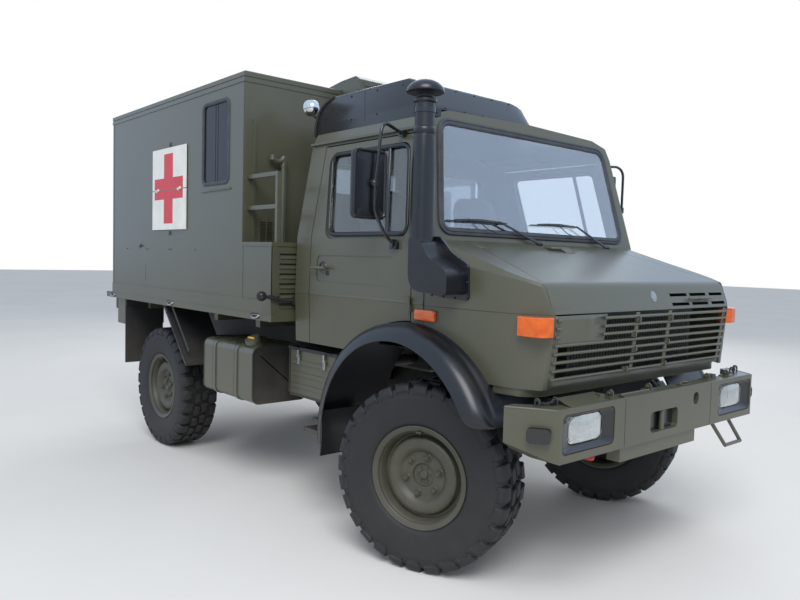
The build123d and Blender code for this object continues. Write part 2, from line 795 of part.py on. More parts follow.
nose_outer = nose_volume(0)
with BuildPart() as nose_hollow:
    add(nose_volume(skin))
    inner_half = nose_half - skin
    block((cab_nose_x - 20, -inner_half, nose_bottom_z - 60), (straight_x, inner_half, nose_bottom_z + 60))
    front_half = nose_half - 125
    block(
        (straight_x - 10, -front_half, nose_bottom_z - 60),
        (straight_x + 180, front_half, nose_bottom_z + 60),
    )
    side_prism(
        [(cab_nose_x - 20, nose_bottom_z), (cab_nose_x - 20, cowl_z - skin),
         (cab_nose_x + 40, cowl_z - skin - 15), (cab_nose_x + 40, nose_bottom_z)],
        -(nose_half - 45), nose_half - 45,
    )

hinge_y = 420
bonnet_hinge_x = bonnet_rear_x - 4
hinge_lift = 11
strap_length = 45
strap_thick = 6


def nose_top(x):
    """Height of the nose's sloping top at one X."""
    return cowl_z - bonnet_slope * (x - cab_nose_x)


def nose_front(z):
    """X of the grille's leaning face at one height."""
    lean = (bonnet_lip_x - grille_foot_x) / (bonnet_lip_z - grille_foot_z)
    return grille_foot_x + lean * (z - grille_foot_z)


bonnet_hinge_z = nose_top(bonnet_hinge_x) + hinge_lift


def bonnet_strap(way, low_y, high_y):
    """Hinge strap that lies on the nose's top and rises to the hinge barrel."""
    far_x = bonnet_hinge_x + way * strap_length
    near_x = bonnet_hinge_x + way * (hinge_radius + 4)
    side_prism(
        [(far_x, nose_top(far_x) - 3), (far_x, nose_top(far_x) + strap_thick),
         (near_x, nose_top(near_x) + strap_thick), (bonnet_hinge_x + way * 3, bonnet_hinge_z + 4),
         (bonnet_hinge_x + way * 3, bonnet_hinge_z - 4), (near_x, nose_top(near_x) - 3)],
        low_y, high_y,
    )


def bonnet_region(gap):
    """Plan of the bonnet lid, widened by the gap."""
    rear_x = bonnet_rear_x - gap
    right = [(rear_x, -(bonnet_rear_half + gap)), (crest_x, -(bonnet_front_half + gap)),
             (bonnet_lip_x + 60, -(bonnet_front_half + gap))]
    return right + [(x, -y) for x, y in reversed(right)]


vent_length = 110
vent_height = 16
vent_z = crest_z - 62
with BuildPart() as bonnet:
    add(nose_outer)
    add(nose_hollow.part, mode=Mode.SUBTRACT)
    plan_prism(bonnet_region(0), bonnet_lip_z + 4, cowl_z + 100, mode=Mode.INTERSECT)
    # Two rows of three air slots in the lid's front edge
    for low_z in (vent_z, vent_z - 34):
        for y in (20, 160, 300):
            block(
                (crest_x - 60, y, low_z), (bonnet_lip_x + 20, y + vent_length, low_z + vent_height),
                mode=Mode.SUBTRACT,
            )
    for sign in (-1, 1):
        start = (bonnet_hinge_x, sign * hinge_y + barrel_gap / 2, bonnet_hinge_z)
        end = (bonnet_hinge_x, sign * hinge_y + barrel_length, bonnet_hinge_z)
        rod(start, end, hinge_radius)
        bonnet_strap(1, start[1], end[1])
keep(bonnet.part, "bonnet")

grille_rear_x = front_axle_x + 700
with BuildPart() as front_wings:
    add(nose_outer)
    add(nose_hollow.part, mode=Mode.SUBTRACT)
    plan_prism(bonnet_region(bonnet_gap), bonnet_lip_z, cowl_z + 100, mode=Mode.SUBTRACT)
    block(
        (grille_rear_x, -grille_half, grille_foot_z),
        (bonnet_lip_x + 60, grille_half, bonnet_lip_z + 10),
        mode=Mode.SUBTRACT,
    )
    front_arches()
    for sign in (-1, 1):
        start = (bonnet_hinge_x, sign * hinge_y - barrel_length, bonnet_hinge_z)
        end = (bonnet_hinge_x, sign * hinge_y - barrel_gap / 2, bonnet_hinge_z)
        rod(start, end, hinge_radius)
        bonnet_strap(-1, start[1], end[1])
keep(front_wings.part, "front_wings")

# Grille panel: seven raised bars with slots between them, crossed by two uprights with gussets
grille_bars = 7
grille_side = grille_half - 48
grille_low = grille_foot_z + 42
grille_pitch = (bonnet_lip_z - 18 - grille_low) / grille_bars
grille_slot = 28
bar_out = 10
full_rows = 4
blank_edge = 420
upright_y = 150
upright_half = 10
upright_out = 26
with BuildPart() as grille:
    add(nose_outer)
    add(nose_hollow.part, mode=Mode.SUBTRACT)
    block(
        (grille_rear_x, -grille_half + fit_gap, grille_foot_z + fit_gap),
        (bonnet_lip_x + 60, grille_half - fit_gap, bonnet_lip_z - 2),
        mode=Mode.INTERSECT,
    )
    for bar in range(grille_bars + 1):
        low_z = grille_low + bar * grille_pitch - (grille_pitch - grille_slot)
        high_z = low_z + grille_pitch - grille_slot
        first_y = -grille_side if bar <= full_rows else -blank_edge
        side_prism(
            [(nose_front(low_z) - 5, low_z), (nose_front(low_z) + bar_out - 2, low_z + 2),
             (nose_front(high_z) + bar_out - 2, high_z - 2), (nose_front(high_z) - 5, high_z)],
            first_y, grille_side,
        )
    for bar in range(grille_bars):
        low_z = grille_low + bar * grille_pitch
        first_y = -grille_side if bar < full_rows else -blank_edge
        for low_y, high_y in (
            (first_y, -upright_y - upright_half),
            (-upright_y + upright_half, upright_y - upright_half),
            (upright_y + upright_half, grille_side),
        ):
            block(
                (grille_rear_x, low_y, low_z),
                (bonnet_lip_x + 60, high_y, low_z + grille_slot),
                mode=Mode.SUBTRACT,
            )
    for y in (-upright_y, upright_y):
        low_z = grille_low
        high_z = bonnet_lip_z - 30
        side_prism(
            [(nose_front(low_z) - 5, low_z), (nose_front(low_z) + upright_out, low_z + 14),
             (nose_front(high_z) + upright_out, high_z - 14), (nose_front(high_z) - 5, high_z)],
            y - upright_half / 2, y + upright_half / 2,
        )
keep(grille.part, "grille")

# Front wheel arches: black liner, flared lip and mud flap on each side
# Half section of the flare: radius about the arch centre, distance from the middle of the truck
liner_gap = 0.6
liner_radius = arch_radius - liner_gap
flare_sheet = 12
flare_half = 1160
flare_section = [
    (liner_radius, arch_inner + 5), (liner_radius, cab_half + 8), (liner_radius - 4, cab_half + 20),
    (liner_radius - 4, 1080), (liner_radius - 13, 1122), (liner_radius - 48, 1149),
    (liner_radius - 98, flare_half), (liner_radius - 98, flare_half - 9), (liner_radius - 56, 1139),
    (liner_radius - 24, 1112), (liner_radius - flare_sheet - 2, 1078),
    (liner_radius - flare_sheet, arch_inner + 5),
]
flare_start = 22
flap_x = arch_x - liner_radius + 92
flap_low_z = 485
flap_near = 800
flap_sheet = 12
with BuildPart() as front_flares:
    for side, sign in sides:
        start = radians(flare_start)
        radial = (cos(start), 0, sin(start))
        normal = Vector(*radial).cross(Vector(0, 1, 0))
        with BuildSketch(Plane(origin=(arch_x, 0, arch_z), x_dir=radial, z_dir=normal)):
            with BuildLine():
                Polyline(*[(r, sign * y) for r, y in flare_section], close=True)
            make_face()
        revolve(axis=Axis((arch_x, 0, arch_z), (0, -1, 0)), revolution_arc=180 - flare_start)
        low_y, high_y = span(sign, flap_near, flare_half - 2)
        block((flap_x, low_y, flap_low_z), (flap_x + flap_sheet, high_y, arch_z + 120))
        low_y, high_y = span(sign, flap_near, 1000)
        block((arch_x - liner_radius + 4, low_y, arch_z), (flap_x + flap_sheet, high_y, arch_z + flap_sheet))
keep(front_flares.part, "front_flares")

# Bumper: a pressed beam with swept wings, its beams back to the rails
bumper_face_x = front_axle_x + 960
bumper_kink_half = 976
bumper_top = 1026
bumper_low = 795
wing_x = front_axle_x + 739
wing_half = 1112
bumper_depth = 90
bumper_plan = [
    (wing_x, -wing_half), (bumper_face_x, -bumper_kink_half), (bumper_face_x, bumper_kink_half),
    (wing_x, wing_half), (wing_x - 10, wing_half - 75), (bumper_face_x - bumper_depth, bumper_kink_half - 60),
    (bumper_face_x - bumper_depth, -bumper_kink_half + 60), (wing_x - 10, -wing_half + 75),
]
headlamp_y = 750
headlamp_low = 812
headlamp_high = 1000
headlamp_half = 210
headlamp_corner = 30
lamp_pocket = 70
recess = 36
hook_slot_low = (-205, 815)
hook_slot_high = (72, 925)
oval_low = (242, 915)
oval_high = (300, 985)
wing_slot_length = 112
wing_slot_height = 72
wing_slot_corner = 20
# How far out along the swept wing the slot's middle lies
wing_slot_share = 0.365
wing_slot_z = 905
bracket_rise = 26
stirrup_radius = 11
stirrup_points = [
    (bumper_face_x - 45, 545, bumper_low - 15), (bumper_face_x - 10, 679, 618),
    (bumper_face_x - 10, 879, 618), (bumper_face_x - 45, 755, bumper_low - 15),
]
with BuildPart() as bumper:
    plan_prism(bumper_plan, bumper_low - 20, bumper_top)
    for side, sign in sides:
        # Undercut of the wings, higher at their tips
        section_prism(
            [(sign * 960, bumper_low - 30), (sign * (wing_half + 20), bumper_low - 30),
             (sign * (wing_half + 20), 868)],
            wing_x - 60, bumper_face_x + 20, mode=Mode.SUBTRACT,
        )
        low_y, high_y = span(sign, headlamp_y - headlamp_half, headlamp_y + headlamp_half)
        front_slot(
            (low_y, headlamp_low), (high_y, headlamp_high), headlamp_corner,
            bumper_face_x - lamp_pocket, bumper_face_x + 20,
        )
        # Slot in the face of each wing
        wing_run = bumper_face_x - wing_x
        wing_sweep = wing_half - bumper_kink_half
        wing_plane = Plane(
            origin=(
                bumper_face_x - wing_slot_share * wing_run,
                sign * (bumper_kink_half + wing_slot_share * wing_sweep),
                wing_slot_z,
            ),
            x_dir=(-wing_run, sign * wing_sweep, 0),
            z_dir=(wing_sweep, sign * wing_run, 0),
        )
        with BuildSketch(wing_plane.offset(recess)):
            RectangleRounded(wing_slot_length, wing_slot_height, wing_slot_corner)
        extrude(amount=-2 * recess, mode=Mode.SUBTRACT)
        low_y, high_y = span(sign, rail_low, rail_high)
        block((rail_front_x, low_y, rail_bottom + 20), (bumper_face_x - bumper_depth, high_y, rail_top))
        # Bracket from the beam's top towards the nose
        low_y, high_y = span(sign, 560, 600)
        block(
            (bumper_face_x - bumper_depth, low_y, bumper_top),
            (bumper_face_x - 50, high_y, bumper_top + bracket_rise),
        )
    front_slot(hook_slot_low, hook_slot_high, 24, bumper_face_x - recess, bumper_face_x + 20)
    front_slot(oval_low, oval_high, 28, bumper_face_x - recess, bumper_face_x + 20)
    # Hook pin across the slot
    pin_y = (hook_slot_low[0] + hook_slot_high[0]) / 2
    rod(
        (bumper_face_x - recess / 2, pin_y, hook_slot_low[1] - 20),
        (bumper_face_x - recess / 2, pin_y, hook_slot_high[1] + 20), 14,
    )
    # Centre plate that hangs below the beam
    block((bumper_face_x - bumper_depth, -460, 700), (bumper_face_x - 15, 300, bumper_low - 20))
    # Stirrup step under the left of the beam
    bent_rod(stirrup_points, stirrup_radius)
keep(bumper.part, "bumper")

with BuildPart() as headlamps:
    for side, sign in sides:
        low_y, high_y = span(
            sign, headlamp_y - headlamp_half + fit_gap, headlamp_y + headlamp_half - fit_gap
        )
        front_slot(
            (low_y, headlamp_low + fit_gap), (high_y, headlamp_high - fit_gap), headlamp_corner,
            bumper_face_x - lamp_pocket, bumper_face_x - 6, mode=Mode.ADD,
        )
keep(headlamps.part, "headlamps")

# Signal lamps: front corners, cab sides and the rear clusters under the deck
lamp_low_z = 1340
lamp_high_z = 1434
lamp_x = front_axle_x + 697
lamp_plan = [
    (lamp_x, nose_half - 60), (lamp_x, nose_half + 8), (lamp_x + 133, nose_half + 3),
    (lamp_x + 161, nose_half - 35), (lamp_x + 165, nose_half - 60), (lamp_x + 163, nose_half - 128),
]
cluster_near = 820
cluster_far = 1080
cluster_drop = 119
cluster_depth = 60
with BuildPart() as signal_lamps:
    for side, sign in sides:
        plan_prism([(x, sign * y) for x, y in lamp_plan], lamp_low_z, lamp_high_z)
        low_y, high_y = span(sign, nose_half, cab_half + 12)
        block((front_axle_x + 2, low_y, lamp_low_z + 20), (front_axle_x + 156, high_y, lamp_high_z - 14))
    add(nose_outer, mode=Mode.SUBTRACT)
    add(cab_block.part, mode=Mode.SUBTRACT)
    for side, sign in sides:
        low_y, high_y = span(sign, cluster_near, cluster_far)
        block(
            (deck_rear_x, low_y, deck_bottom_z - cluster_drop),
            (deck_rear_x + cluster_depth, high_y, deck_bottom_z),
        )
keep(signal_lamps.part, "signal_lamps")

# Air intake snorkel at the right windscreen pillar
snorkel_x = front_axle_x + 108
snorkel_y = -1078
snorkel_half = 60
snorkel_tube = 52
snorkel_band_z = 2350
cap_z = 2550
cap_radius = 100
duct_outline = [
    (snorkel_x - snorkel_half + 2, 1800), (snorkel_x - snorkel_half + 2, 1536),
    (snorkel_x + 318, 1546), (snorkel_x + 318, 1660), (snorkel_x + 200, 1688),
    (snorkel_x + 110, 1722), (snorkel_x + snorkel_half, 1800),
]
foot_outline = [
    (snorkel_x - 74, 1812), (snorkel_x - 74, 1528), (snorkel_x + 290, 1522), (snorkel_x + 282, 1690),
    (snorkel_x + 150, 1742), (snorkel_x + snorkel_half, 1812),
]
with BuildPart() as snorkel:
    with BuildSketch(Plane.XY.offset(1750)):
        with Locations((snorkel_x, snorkel_y)):
            RectangleRounded(2 * snorkel_half, 2 * snorkel_half - 4, 40)
    extrude(amount=snorkel_band_z - 1750)
    rod(
        (snorkel_x, snorkel_y, snorkel_band_z - 10), (snorkel_x, snorkel_y, snorkel_band_z + 18),
        snorkel_half - 1,
    )
    rod((snorkel_x, snorkel_y, snorkel_band_z), (snorkel_x, snorkel_y, cap_z - 40), snorkel_tube)
    rod((snorkel_x, snorkel_y, cap_z - 50), (snorkel_x, snorkel_y, cap_z - 30), snorkel_tube + 9)
    rod((snorkel_x, snorkel_y, cap_z - 40), (snorkel_x, snorkel_y, cap_z + 10), snorkel_tube - 7)
    with BuildSketch(Plane(origin=(snorkel_x, snorkel_y, 0), x_dir=(1, 0, 0), z_dir=(0, -1, 0))):
        with BuildLine():
            Polyline(
                (0, cap_z), (cap_radius - 5, cap_z - 1), (cap_radius, cap_z + 8),
                (cap_radius - 20, cap_z + 42), (cap_radius - 55, cap_z + 60), (0, cap_z + 68),
                close=True,
            )
        make_face()
    revolve(axis=Axis((snorkel_x, snorkel_y, 0), (0, 0, 1)))
    side_prism(duct_outline, snorkel_y - snorkel_half + 4, -nose_half)
    side_prism(foot_outline, -nose_half - 17, -nose_half)
    # Bracket back to the corner of the roof
    rod((snorkel_x - 30, snorkel_y + 20, cap_z - 90), (door_front_x - 60, -860, cap_z - 90), 10)
    add(cab_block.part, mode=Mode.SUBTRACT)
    add(nose_outer, mode=Mode.SUBTRACT)
keep(snorkel.part, "snorkel")

# Mirrors on their tube arms, carried by the doors
mirror_x = front_axle_x - 205
mirror_arm_radius = 9.5
mirror_low = (1050, 1903)
mirror_high = (1285, 2284)
mirror_front_x = mirror_x - 9
mirror_depth = 36
mirror_corner = 30
for side, sign in sides:
    arm_points = [
        (mirror_x - 55, sign * 886, door_top_z - 8), (mirror_x + 4, sign * 1085, drip_z + 9),
        (mirror_x + 10, sign * 1118, drip_z - 20), (mirror_x + 4, sign * 1150, 2112),
        (mirror_x + 2, sign * 1152, 1950), (mirror_x + 6, sign * 1070, 1815),
        (mirror_x + 14, sign * (cab_half - 20), belt_z - 50),
    ]
    with BuildPart() as mirror_arm:
        bent_rod(arm_points, mirror_arm_radius)
        low_y, high_y = span(sign, mirror_low[0], mirror_high[0])
        front_slot(
            (low_y, mirror_low[1]), (high_y, mirror_high[1]), mirror_corner,
            mirror_front_x - mirror_depth, mirror_front_x, mode=Mode.ADD,
        )
        # Clamp between tube and housing
        rod(
            (mirror_front_x - 5, sign * 1151, 2100), (mirror_x + 4, sign * 1151, 2100),
            2 * mirror_arm_radius,
        )
        add(door_parts[side], mode=Mode.SUBTRACT)
    keep(mirror_arm.part, f"mirror_{side}")

# Black sheet fairing on the cab roof, its top rolled down into the back
fairing_low = 2470
fairing_top = 2745
fairing_right = -835
fairing_left = 130
sheet = 12
fairing_front_x = front_axle_x - 195
fairing_crest_x = front_axle_x - 310
fairing_rear_x = front_axle_x - 1262
fairing_bow = 215
bow_steps = 6


def fairing_outline(inset, low_z):
    """Side outline of the fairing: leaning front, flat top and quarter-round rear corner."""
    bow_x = fairing_rear_x + fairing_bow
    bow_z = fairing_top - fairing_bow
    bow = [
        (bow_x - (fairing_bow - inset) * sin(pi / 2 * step / bow_steps),
         bow_z + (fairing_bow - inset) * cos(pi / 2 * step / bow_steps))
        for step in range(bow_steps + 1)
    ]
    front = [
        (fairing_front_x - inset, low_z), (fairing_front_x - inset, fairing_low + 90),
        (fairing_crest_x - inset, fairing_top - inset),
    ]
    return front + bow + [(fairing_rear_x + inset, low_z)]


with BuildPart() as cab_fairing:
    side_prism(fairing_outline(0, fairing_low + 20), fairing_right, fairing_left)
    side_prism(
        fairing_outline(sheet, fairing_low - 20),
        fairing_right + sheet, fairing_left - sheet, mode=Mode.SUBTRACT,
    )
    add(cab_block.part, mode=Mode.SUBTRACT)
keep(cab_fairing.part, "cab_fairing")

# Work lamp behind the fairing, and the marker lamps on arms beside the cab
work_lamp_y = -780
work_lamp_z = 2755
work_lamp_x = fairing_rear_x - 68
work_lamp_length = 70
work_lamp_radius = 48
work_lamp_stem = 14
marker_z = 1400
marker_x = cab_rear_x - 22
marker_y = 1255
marker_radius = 32
with BuildPart() as work_lamps:
    rod(
        (work_lamp_x, work_lamp_y, work_lamp_z), (work_lamp_x + work_lamp_length, work_lamp_y, work_lamp_z),
        work_lamp_radius,
    )
    # Stem from the rounded corner of the fairing
    stem_turn = (fairing_bow - sheet / 2) * sin(pi / 4)
    rod(
        (fairing_rear_x + fairing_bow - stem_turn, work_lamp_y, fairing_top - fairing_bow + stem_turn),
        (work_lamp_x + work_lamp_length / 2, work_lamp_y, work_lamp_z - 35), work_lamp_stem,
    )
    add(cab_fairing.part, mode=Mode.SUBTRACT)
    for side, sign in sides:
        low_y, high_y = span(sign, cab_half - 60, cab_half - 10)
        block((cab_rear_x - 34, low_y, marker_z - 30), (cab_rear_x, high_y, marker_z + 30))
        rod((marker_x, sign * (cab_half - 10), marker_z), (marker_x, sign * marker_y, marker_z), 11)
        with Locations((marker_x, sign * marker_y, marker_z)):
            Sphere(marker_radius)
keep(work_lamps.part, "work_lamps")

# Seats, dashboard and steering wheel
seat_half = 250
seat_places = [-480, 420]
seat_x = cab_rear_x + 290
seat_length = 510
seat_low_z = cab_floor_z + 260
seat_top_z = seat_low_z + 140
seat_back_z = seat_top_z + 600
dash_x = cab_nose_x - cab_wall
dash_half = cab_half - 110
dash_low_z = 1500
steering_radius = 225
steering_rim = 25
with BuildPart() as cab_interior:
    for y in seat_places:
        low_y = y - seat_half
        high_y = y + seat_half
        block((seat_x + 40, low_y, cab_floor_z), (seat_x + 430, high_y, seat_low_z))
        block((seat_x, low_y, seat_low_z), (seat_x + seat_length, high_y, seat_top_z))
        side_prism(
            [(seat_x - 20, seat_top_z), (seat_x - 110, seat_back_z),
             (seat_x - 10, seat_back_z), (seat_x + 110, seat_top_z)],
            low_y + 10, high_y - 10,
        )
    side_prism(
        [(dash_x, dash_low_z), (dash_x, dash_low_z + 260), (dash_x - 90, dash_low_z + 270),
         (dash_x - 260, dash_low_z + 200), (dash_x - 230, dash_low_z)],
        -dash_half, dash_half,
    )
    wheel_hub = Vector(dash_x - 380, seat_places[1], dash_low_z + 250)
    lean = Vector(-0.5, 0, 0.866)
    column_foot = wheel_hub - lean * 300
    rod(tuple(column_foot), tuple(wheel_hub), 28)
    with BuildSketch(Plane(origin=wheel_hub, x_dir=(0, 1, 0), z_dir=lean)):
        Circle(steering_radius)
        Circle(steering_radius - steering_rim, mode=Mode.SUBTRACT)
        Rectangle(2 * steering_radius - 40, 30)
        Circle(55)
    extrude(amount=22)
    front_arches()
keep(cab_interior.part, "cab_interior")

# Deck under the box, on its cross bearers, with tie-down pockets in its side rails
bearer_offsets = [-1700, -2350, -3050, -3690, -4200]
bearer_half = 1000
bearer_width = 60
deck_rail = 60
deck_skin = 20
pocket_offsets = [-1455, -2850, -4170]
pocket_half = 62
pocket_depth = 14
with BuildPart() as deck:
    block((deck_rear_x, -box_half, deck_bottom_z), (deck_front_x, box_half, deck_top_z))
    block(
        (deck_rear_x + deck_rail, -box_half + deck_rail, deck_bottom_z - 1),
        (deck_front_x - deck_rail, box_half - deck_rail, deck_top_z - deck_skin),
        mode=Mode.SUBTRACT,
    )
    for offset_x in bearer_offsets:
        x = front_axle_x + offset_x - bearer_width / 2
        inner_half = box_half - deck_rail
        block(
            (x, -inner_half, deck_bottom_z),
            (x + bearer_width, inner_half, deck_top_z - deck_skin),
        )
        block((x, -bearer_half, subframe_top), (x + bearer_width, bearer_half, deck_bottom_z))
    for side, sign in sides:
        low_y, high_y = span(sign, box_half - pocket_depth, box_half + 10)
        for offset_x in pocket_offsets:
            x = front_axle_x + offset_x
            side_slot(
                (x - pocket_half, deck_bottom_z + 9), (x + pocket_half, deck_top_z - 9), 16, low_y, high_y
            )
keep(deck.part, "deck")

# Box body: hollow, with a window each side, a roof band, a belt and a double doorway behind
window_rear_x = box_front_x - 625
window_front_x = box_front_x - 218
box_window_low = (window_rear_x, box_top_z - 757)
box_window_high = (window_front_x, box_top_z - 161)
box_window_corner = 45
roof_round = 18
door_half = 600
door_low_z = deck_top_z + 58
door_high_z = box_top_z - 162
rear_hinge_x = box_rear_x - 10
rear_hinge_y = door_half + 4
rear_hinge_heights = [door_low_z + 140, (door_low_z + door_high_z) / 2, door_high_z - 140]
band_out = 5
# Bottom edges of the two raised bands below the roof
band_drops = [78, 40]
band_height = 30
sill_height = 88
with BuildPart() as box_body:
    block((box_rear_x, -box_half, deck_top_z), (box_front_x, box_half, box_top_z))
    roof_edges = box_body.faces().sort_by(Axis.Z)[-1].edges()
    fillet(roof_edges, radius=roof_round)
    for drop in band_drops:
        block(
            (box_rear_x - band_out, -box_half - band_out, box_top_z - drop),
            (box_front_x + band_out, box_half + band_out, box_top_z - drop + band_height),
        )
    for side, sign in sides:
        low_y, high_y = span(sign, box_half - 5, box_half + band_out)
        block((box_rear_x, low_y, deck_top_z), (box_front_x, high_y, deck_top_z + sill_height))
    block(
        (box_rear_x + box_wall, -box_half + box_wall, deck_top_z + box_wall),
        (box_front_x - box_wall, box_half - box_wall, box_top_z - box_wall),
        mode=Mode.SUBTRACT,
    )
    side_slot(box_window_low, box_window_high, box_window_corner, -box_half - 10, box_half + 10)
    block(
        (box_rear_x - 20, -door_half, door_low_z),
        (box_rear_x + box_wall + 10, door_half, door_high_z),
        mode=Mode.SUBTRACT,
    )
    for side, sign in sides:
        for height in rear_hinge_heights:
            rod(
                (rear_hinge_x, sign * rear_hinge_y, height - barrel_length),
                (rear_hinge_x, sign * rear_hinge_y, height - barrel_gap / 2),
                hinge_radius,
            )
            low_y, high_y = span(sign, rear_hinge_y + 3, rear_hinge_y + 30)
            block(
                (rear_hinge_x - 2, low_y, height - barrel_length),
                (box_rear_x + 1, high_y, height - barrel_gap / 2),
            )
keep(box_body.part, "box_body")

with BuildPart() as box_windows:
    for side, sign in sides:
        low_y, high_y = span(sign, box_half - 14, box_half - 6)
        side_slot(
            (box_window_low[0] + fit_gap, box_window_low[1] + fit_gap),
            (box_window_high[0] - fit_gap, box_window_high[1] - fit_gap),
            box_window_corner, low_y, high_y, mode=Mode.ADD,
        )
keep(box_windows.part, "box_windows")

rear_gap = 6
latch_y = 60
latch_out = 30
latch_z = 2000
for side, sign in sides:
    with BuildPart() as rear_door:
        low_y, high_y = span(sign, rear_gap / 2, door_half - rear_gap)
        block(
            (box_rear_x, low_y, door_low_z + rear_gap),
            (box_rear_x + box_wall, high_y, door_high_z - rear_gap),
        )
        for height in rear_hinge_heights:
            rod(
                (rear_hinge_x, sign * rear_hinge_y, height + barrel_gap / 2),
                (rear_hinge_x, sign * rear_hinge_y, height + barrel_length),
                hinge_radius,
            )
            low_y, high_y = span(sign, door_half - 60, rear_hinge_y - 3)
            block(
                (rear_hinge_x - 2, low_y, height + barrel_gap / 2),
                (box_rear_x, high_y, height + barrel_length),
            )
        # Upright pull bar on two feet
        bar_x = box_rear_x - latch_out
        bar_y = sign * latch_y
        rod((bar_x, bar_y, latch_z - 120), (bar_x, bar_y, latch_z + 120), handle_radius)
        for height in (latch_z - 90, latch_z + 90):
            rod((box_rear_x + 5, bar_y, height), (bar_x, bar_y, height), handle_foot_radius)
    keep(rear_door.part, f"rear_door_{side}")

# Cross boards: a fixed lower leaf and an upper leaf that folds down over it
board_low = (front_axle_x - 3190, 1879)
board_high = (front_axle_x - 2542, 2545)
fold_z = 2204
board_thick = 10
board_stand = 5
board_out = box_half + board_stand + board_thick
board_axis_y = board_out + 6
board_barrel = 5.5
board_hinges = [board_low[0] + 110, board_high[0] - 110]
with BuildPart() as cross_boards:
    for side, sign in sides:
        low_y, high_y = span(sign, box_half + board_stand, board_out)
        block((board_low[0], low_y, board_low[1]), (board_high[0], high_y, fold_z - 3))
        low_y, high_y = span(sign, box_half, box_half + board_stand)
        for x in (board_low[0] + 60, board_high[0] - 60):
            block((x - 20, low_y, board_low[1] + 20), (x + 20, high_y, fold_z - 20))
        for x in board_hinges:
            end_x = x - barrel_gap / 2
            rod((x - 30, sign * board_axis_y, fold_z), (end_x, sign * board_axis_y, fold_z), board_barrel)
            low_y, high_y = span(sign, board_out - 2, board_axis_y)
            block((x - 30, low_y, fold_z - 14), (end_x, high_y, fold_z - 3))
keep(cross_boards.part, "cross_boards")

for side, sign in sides:
    with BuildPart() as cross_leaf:
        low_y, high_y = span(sign, box_half + board_stand, board_out)
        block((board_low[0], low_y, fold_z + 3), (board_high[0], high_y, board_high[1]))
        for x in board_hinges:
            start_x = x + barrel_gap / 2
            rod((start_x, sign * board_axis_y, fold_z), (x + 30, sign * board_axis_y, fold_z), board_barrel)
            low_y, high_y = span(sign, board_out - 2, board_axis_y)
            block((start_x, low_y, fold_z + 3), (x + 30, high_y, fold_z + 14))
    keep(cross_leaf.part, f"cross_leaf_{side}")

# Locker across the deck between cab and box, with slatted air inlets in its front
slat_count = 6
slat_pitch = 66
slat_height = 30
slat_depth = 30
slat_near = 760
slat_far = box_half - 60
with BuildPart() as forward_locker:
    block((box_front_x, -box_half, deck_top_z), (deck_front_x, box_half, locker_top_z))
    for side, sign in sides:
        low_y, high_y = span(sign, box_half, box_half + band_out)
        block((box_front_x, low_y, deck_top_z), (deck_front_x, high_y, deck_top_z + sill_height))
        low_y, high_y = span(sign, slat_near, slat_far)
        for slat in range(slat_count):
            low_z = deck_top_z + 42 + slat * slat_pitch
            block(
                (deck_front_x - slat_depth, low_y, low_z),
                (deck_front_x + 1, high_y, low_z + slat_height), mode=Mode.SUBTRACT,
            )
keep(forward_locker.part, "forward_locker")

# Square-tube guard frames on the locker, and the breather pipe on the box front
guard_tube = 28
guard_half = box_half - 34
guard_top = locker_top_z + 470
guard_middle = locker_top_z + 240
pipe_x = box_front_x + 45
pipe_y = -870
pipe_radius = 19
pipe_bend = 45
pipe_top = locker_top_z + 625
clip_heights = [locker_top_z + 125, locker_top_z + 325, locker_top_z + 545]
with BuildPart() as guard_frame:
    for side, sign in sides:
        low_y, high_y = span(sign, guard_half - guard_tube, guard_half)
        block((deck_front_x - guard_tube, low_y, locker_top_z), (deck_front_x, high_y, guard_top))
        for low_z in (guard_middle - guard_tube / 2, guard_top - guard_tube):
            block((box_front_x, low_y, low_z), (deck_front_x, high_y, low_z + guard_tube))
    rod((pipe_x, pipe_y, locker_top_z), (pipe_x, pipe_y, pipe_top), pipe_radius)
    with BuildSketch(Plane.XY.offset(pipe_top)):
        with Locations((pipe_x, pipe_y)):
            Circle(pipe_radius)
    revolve(axis=Axis((pipe_x, pipe_y - pipe_bend, pipe_top), (-1, 0, 0)), revolution_arc=180)
    far_y = pipe_y - 2 * pipe_bend
    rod((pipe_x, far_y, pipe_top), (pipe_x, far_y, pipe_top - 35), pipe_radius)
    for height in clip_heights:
        block((box_front_x, pipe_y - 24, height), (pipe_x, pipe_y + 24, height + 16))
keep(guard_frame.part, "guard_frame")

# Ventilation unit over the front edge of the box roof
unit_half = 335
unit_drop = box_top_z - 57
unit_profile = [
    (box_front_x - 320, box_top_z), (box_front_x - 320, box_top_z + 23), (box_front_x - 10, box_top_z + 68),
    (box_front_x + 170, box_top_z + 78), (box_front_x + 222, box_top_z + 48), (box_front_x + 222, unit_drop),
    (box_front_x, unit_drop), (box_front_x, box_top_z),
]
with BuildPart() as roof_unit:
    side_prism(unit_profile, -unit_half, unit_half)
    # Bolted end frames
    for side, sign in sides:
        low_y, high_y = span(sign, unit_half - 6, unit_half + 8)
        side_prism(
            [(box_front_x + 16, unit_drop - 8), (box_front_x + 16, box_top_z + 60),
             (box_front_x + 168, box_top_z + 70), (box_front_x + 230, box_top_z + 44),
             (box_front_x + 230, unit_drop - 8)],
            low_y, high_y,
        )
    add(box_body.part, mode=Mode.SUBTRACT)
keep(roof_unit.part, "roof_unit")

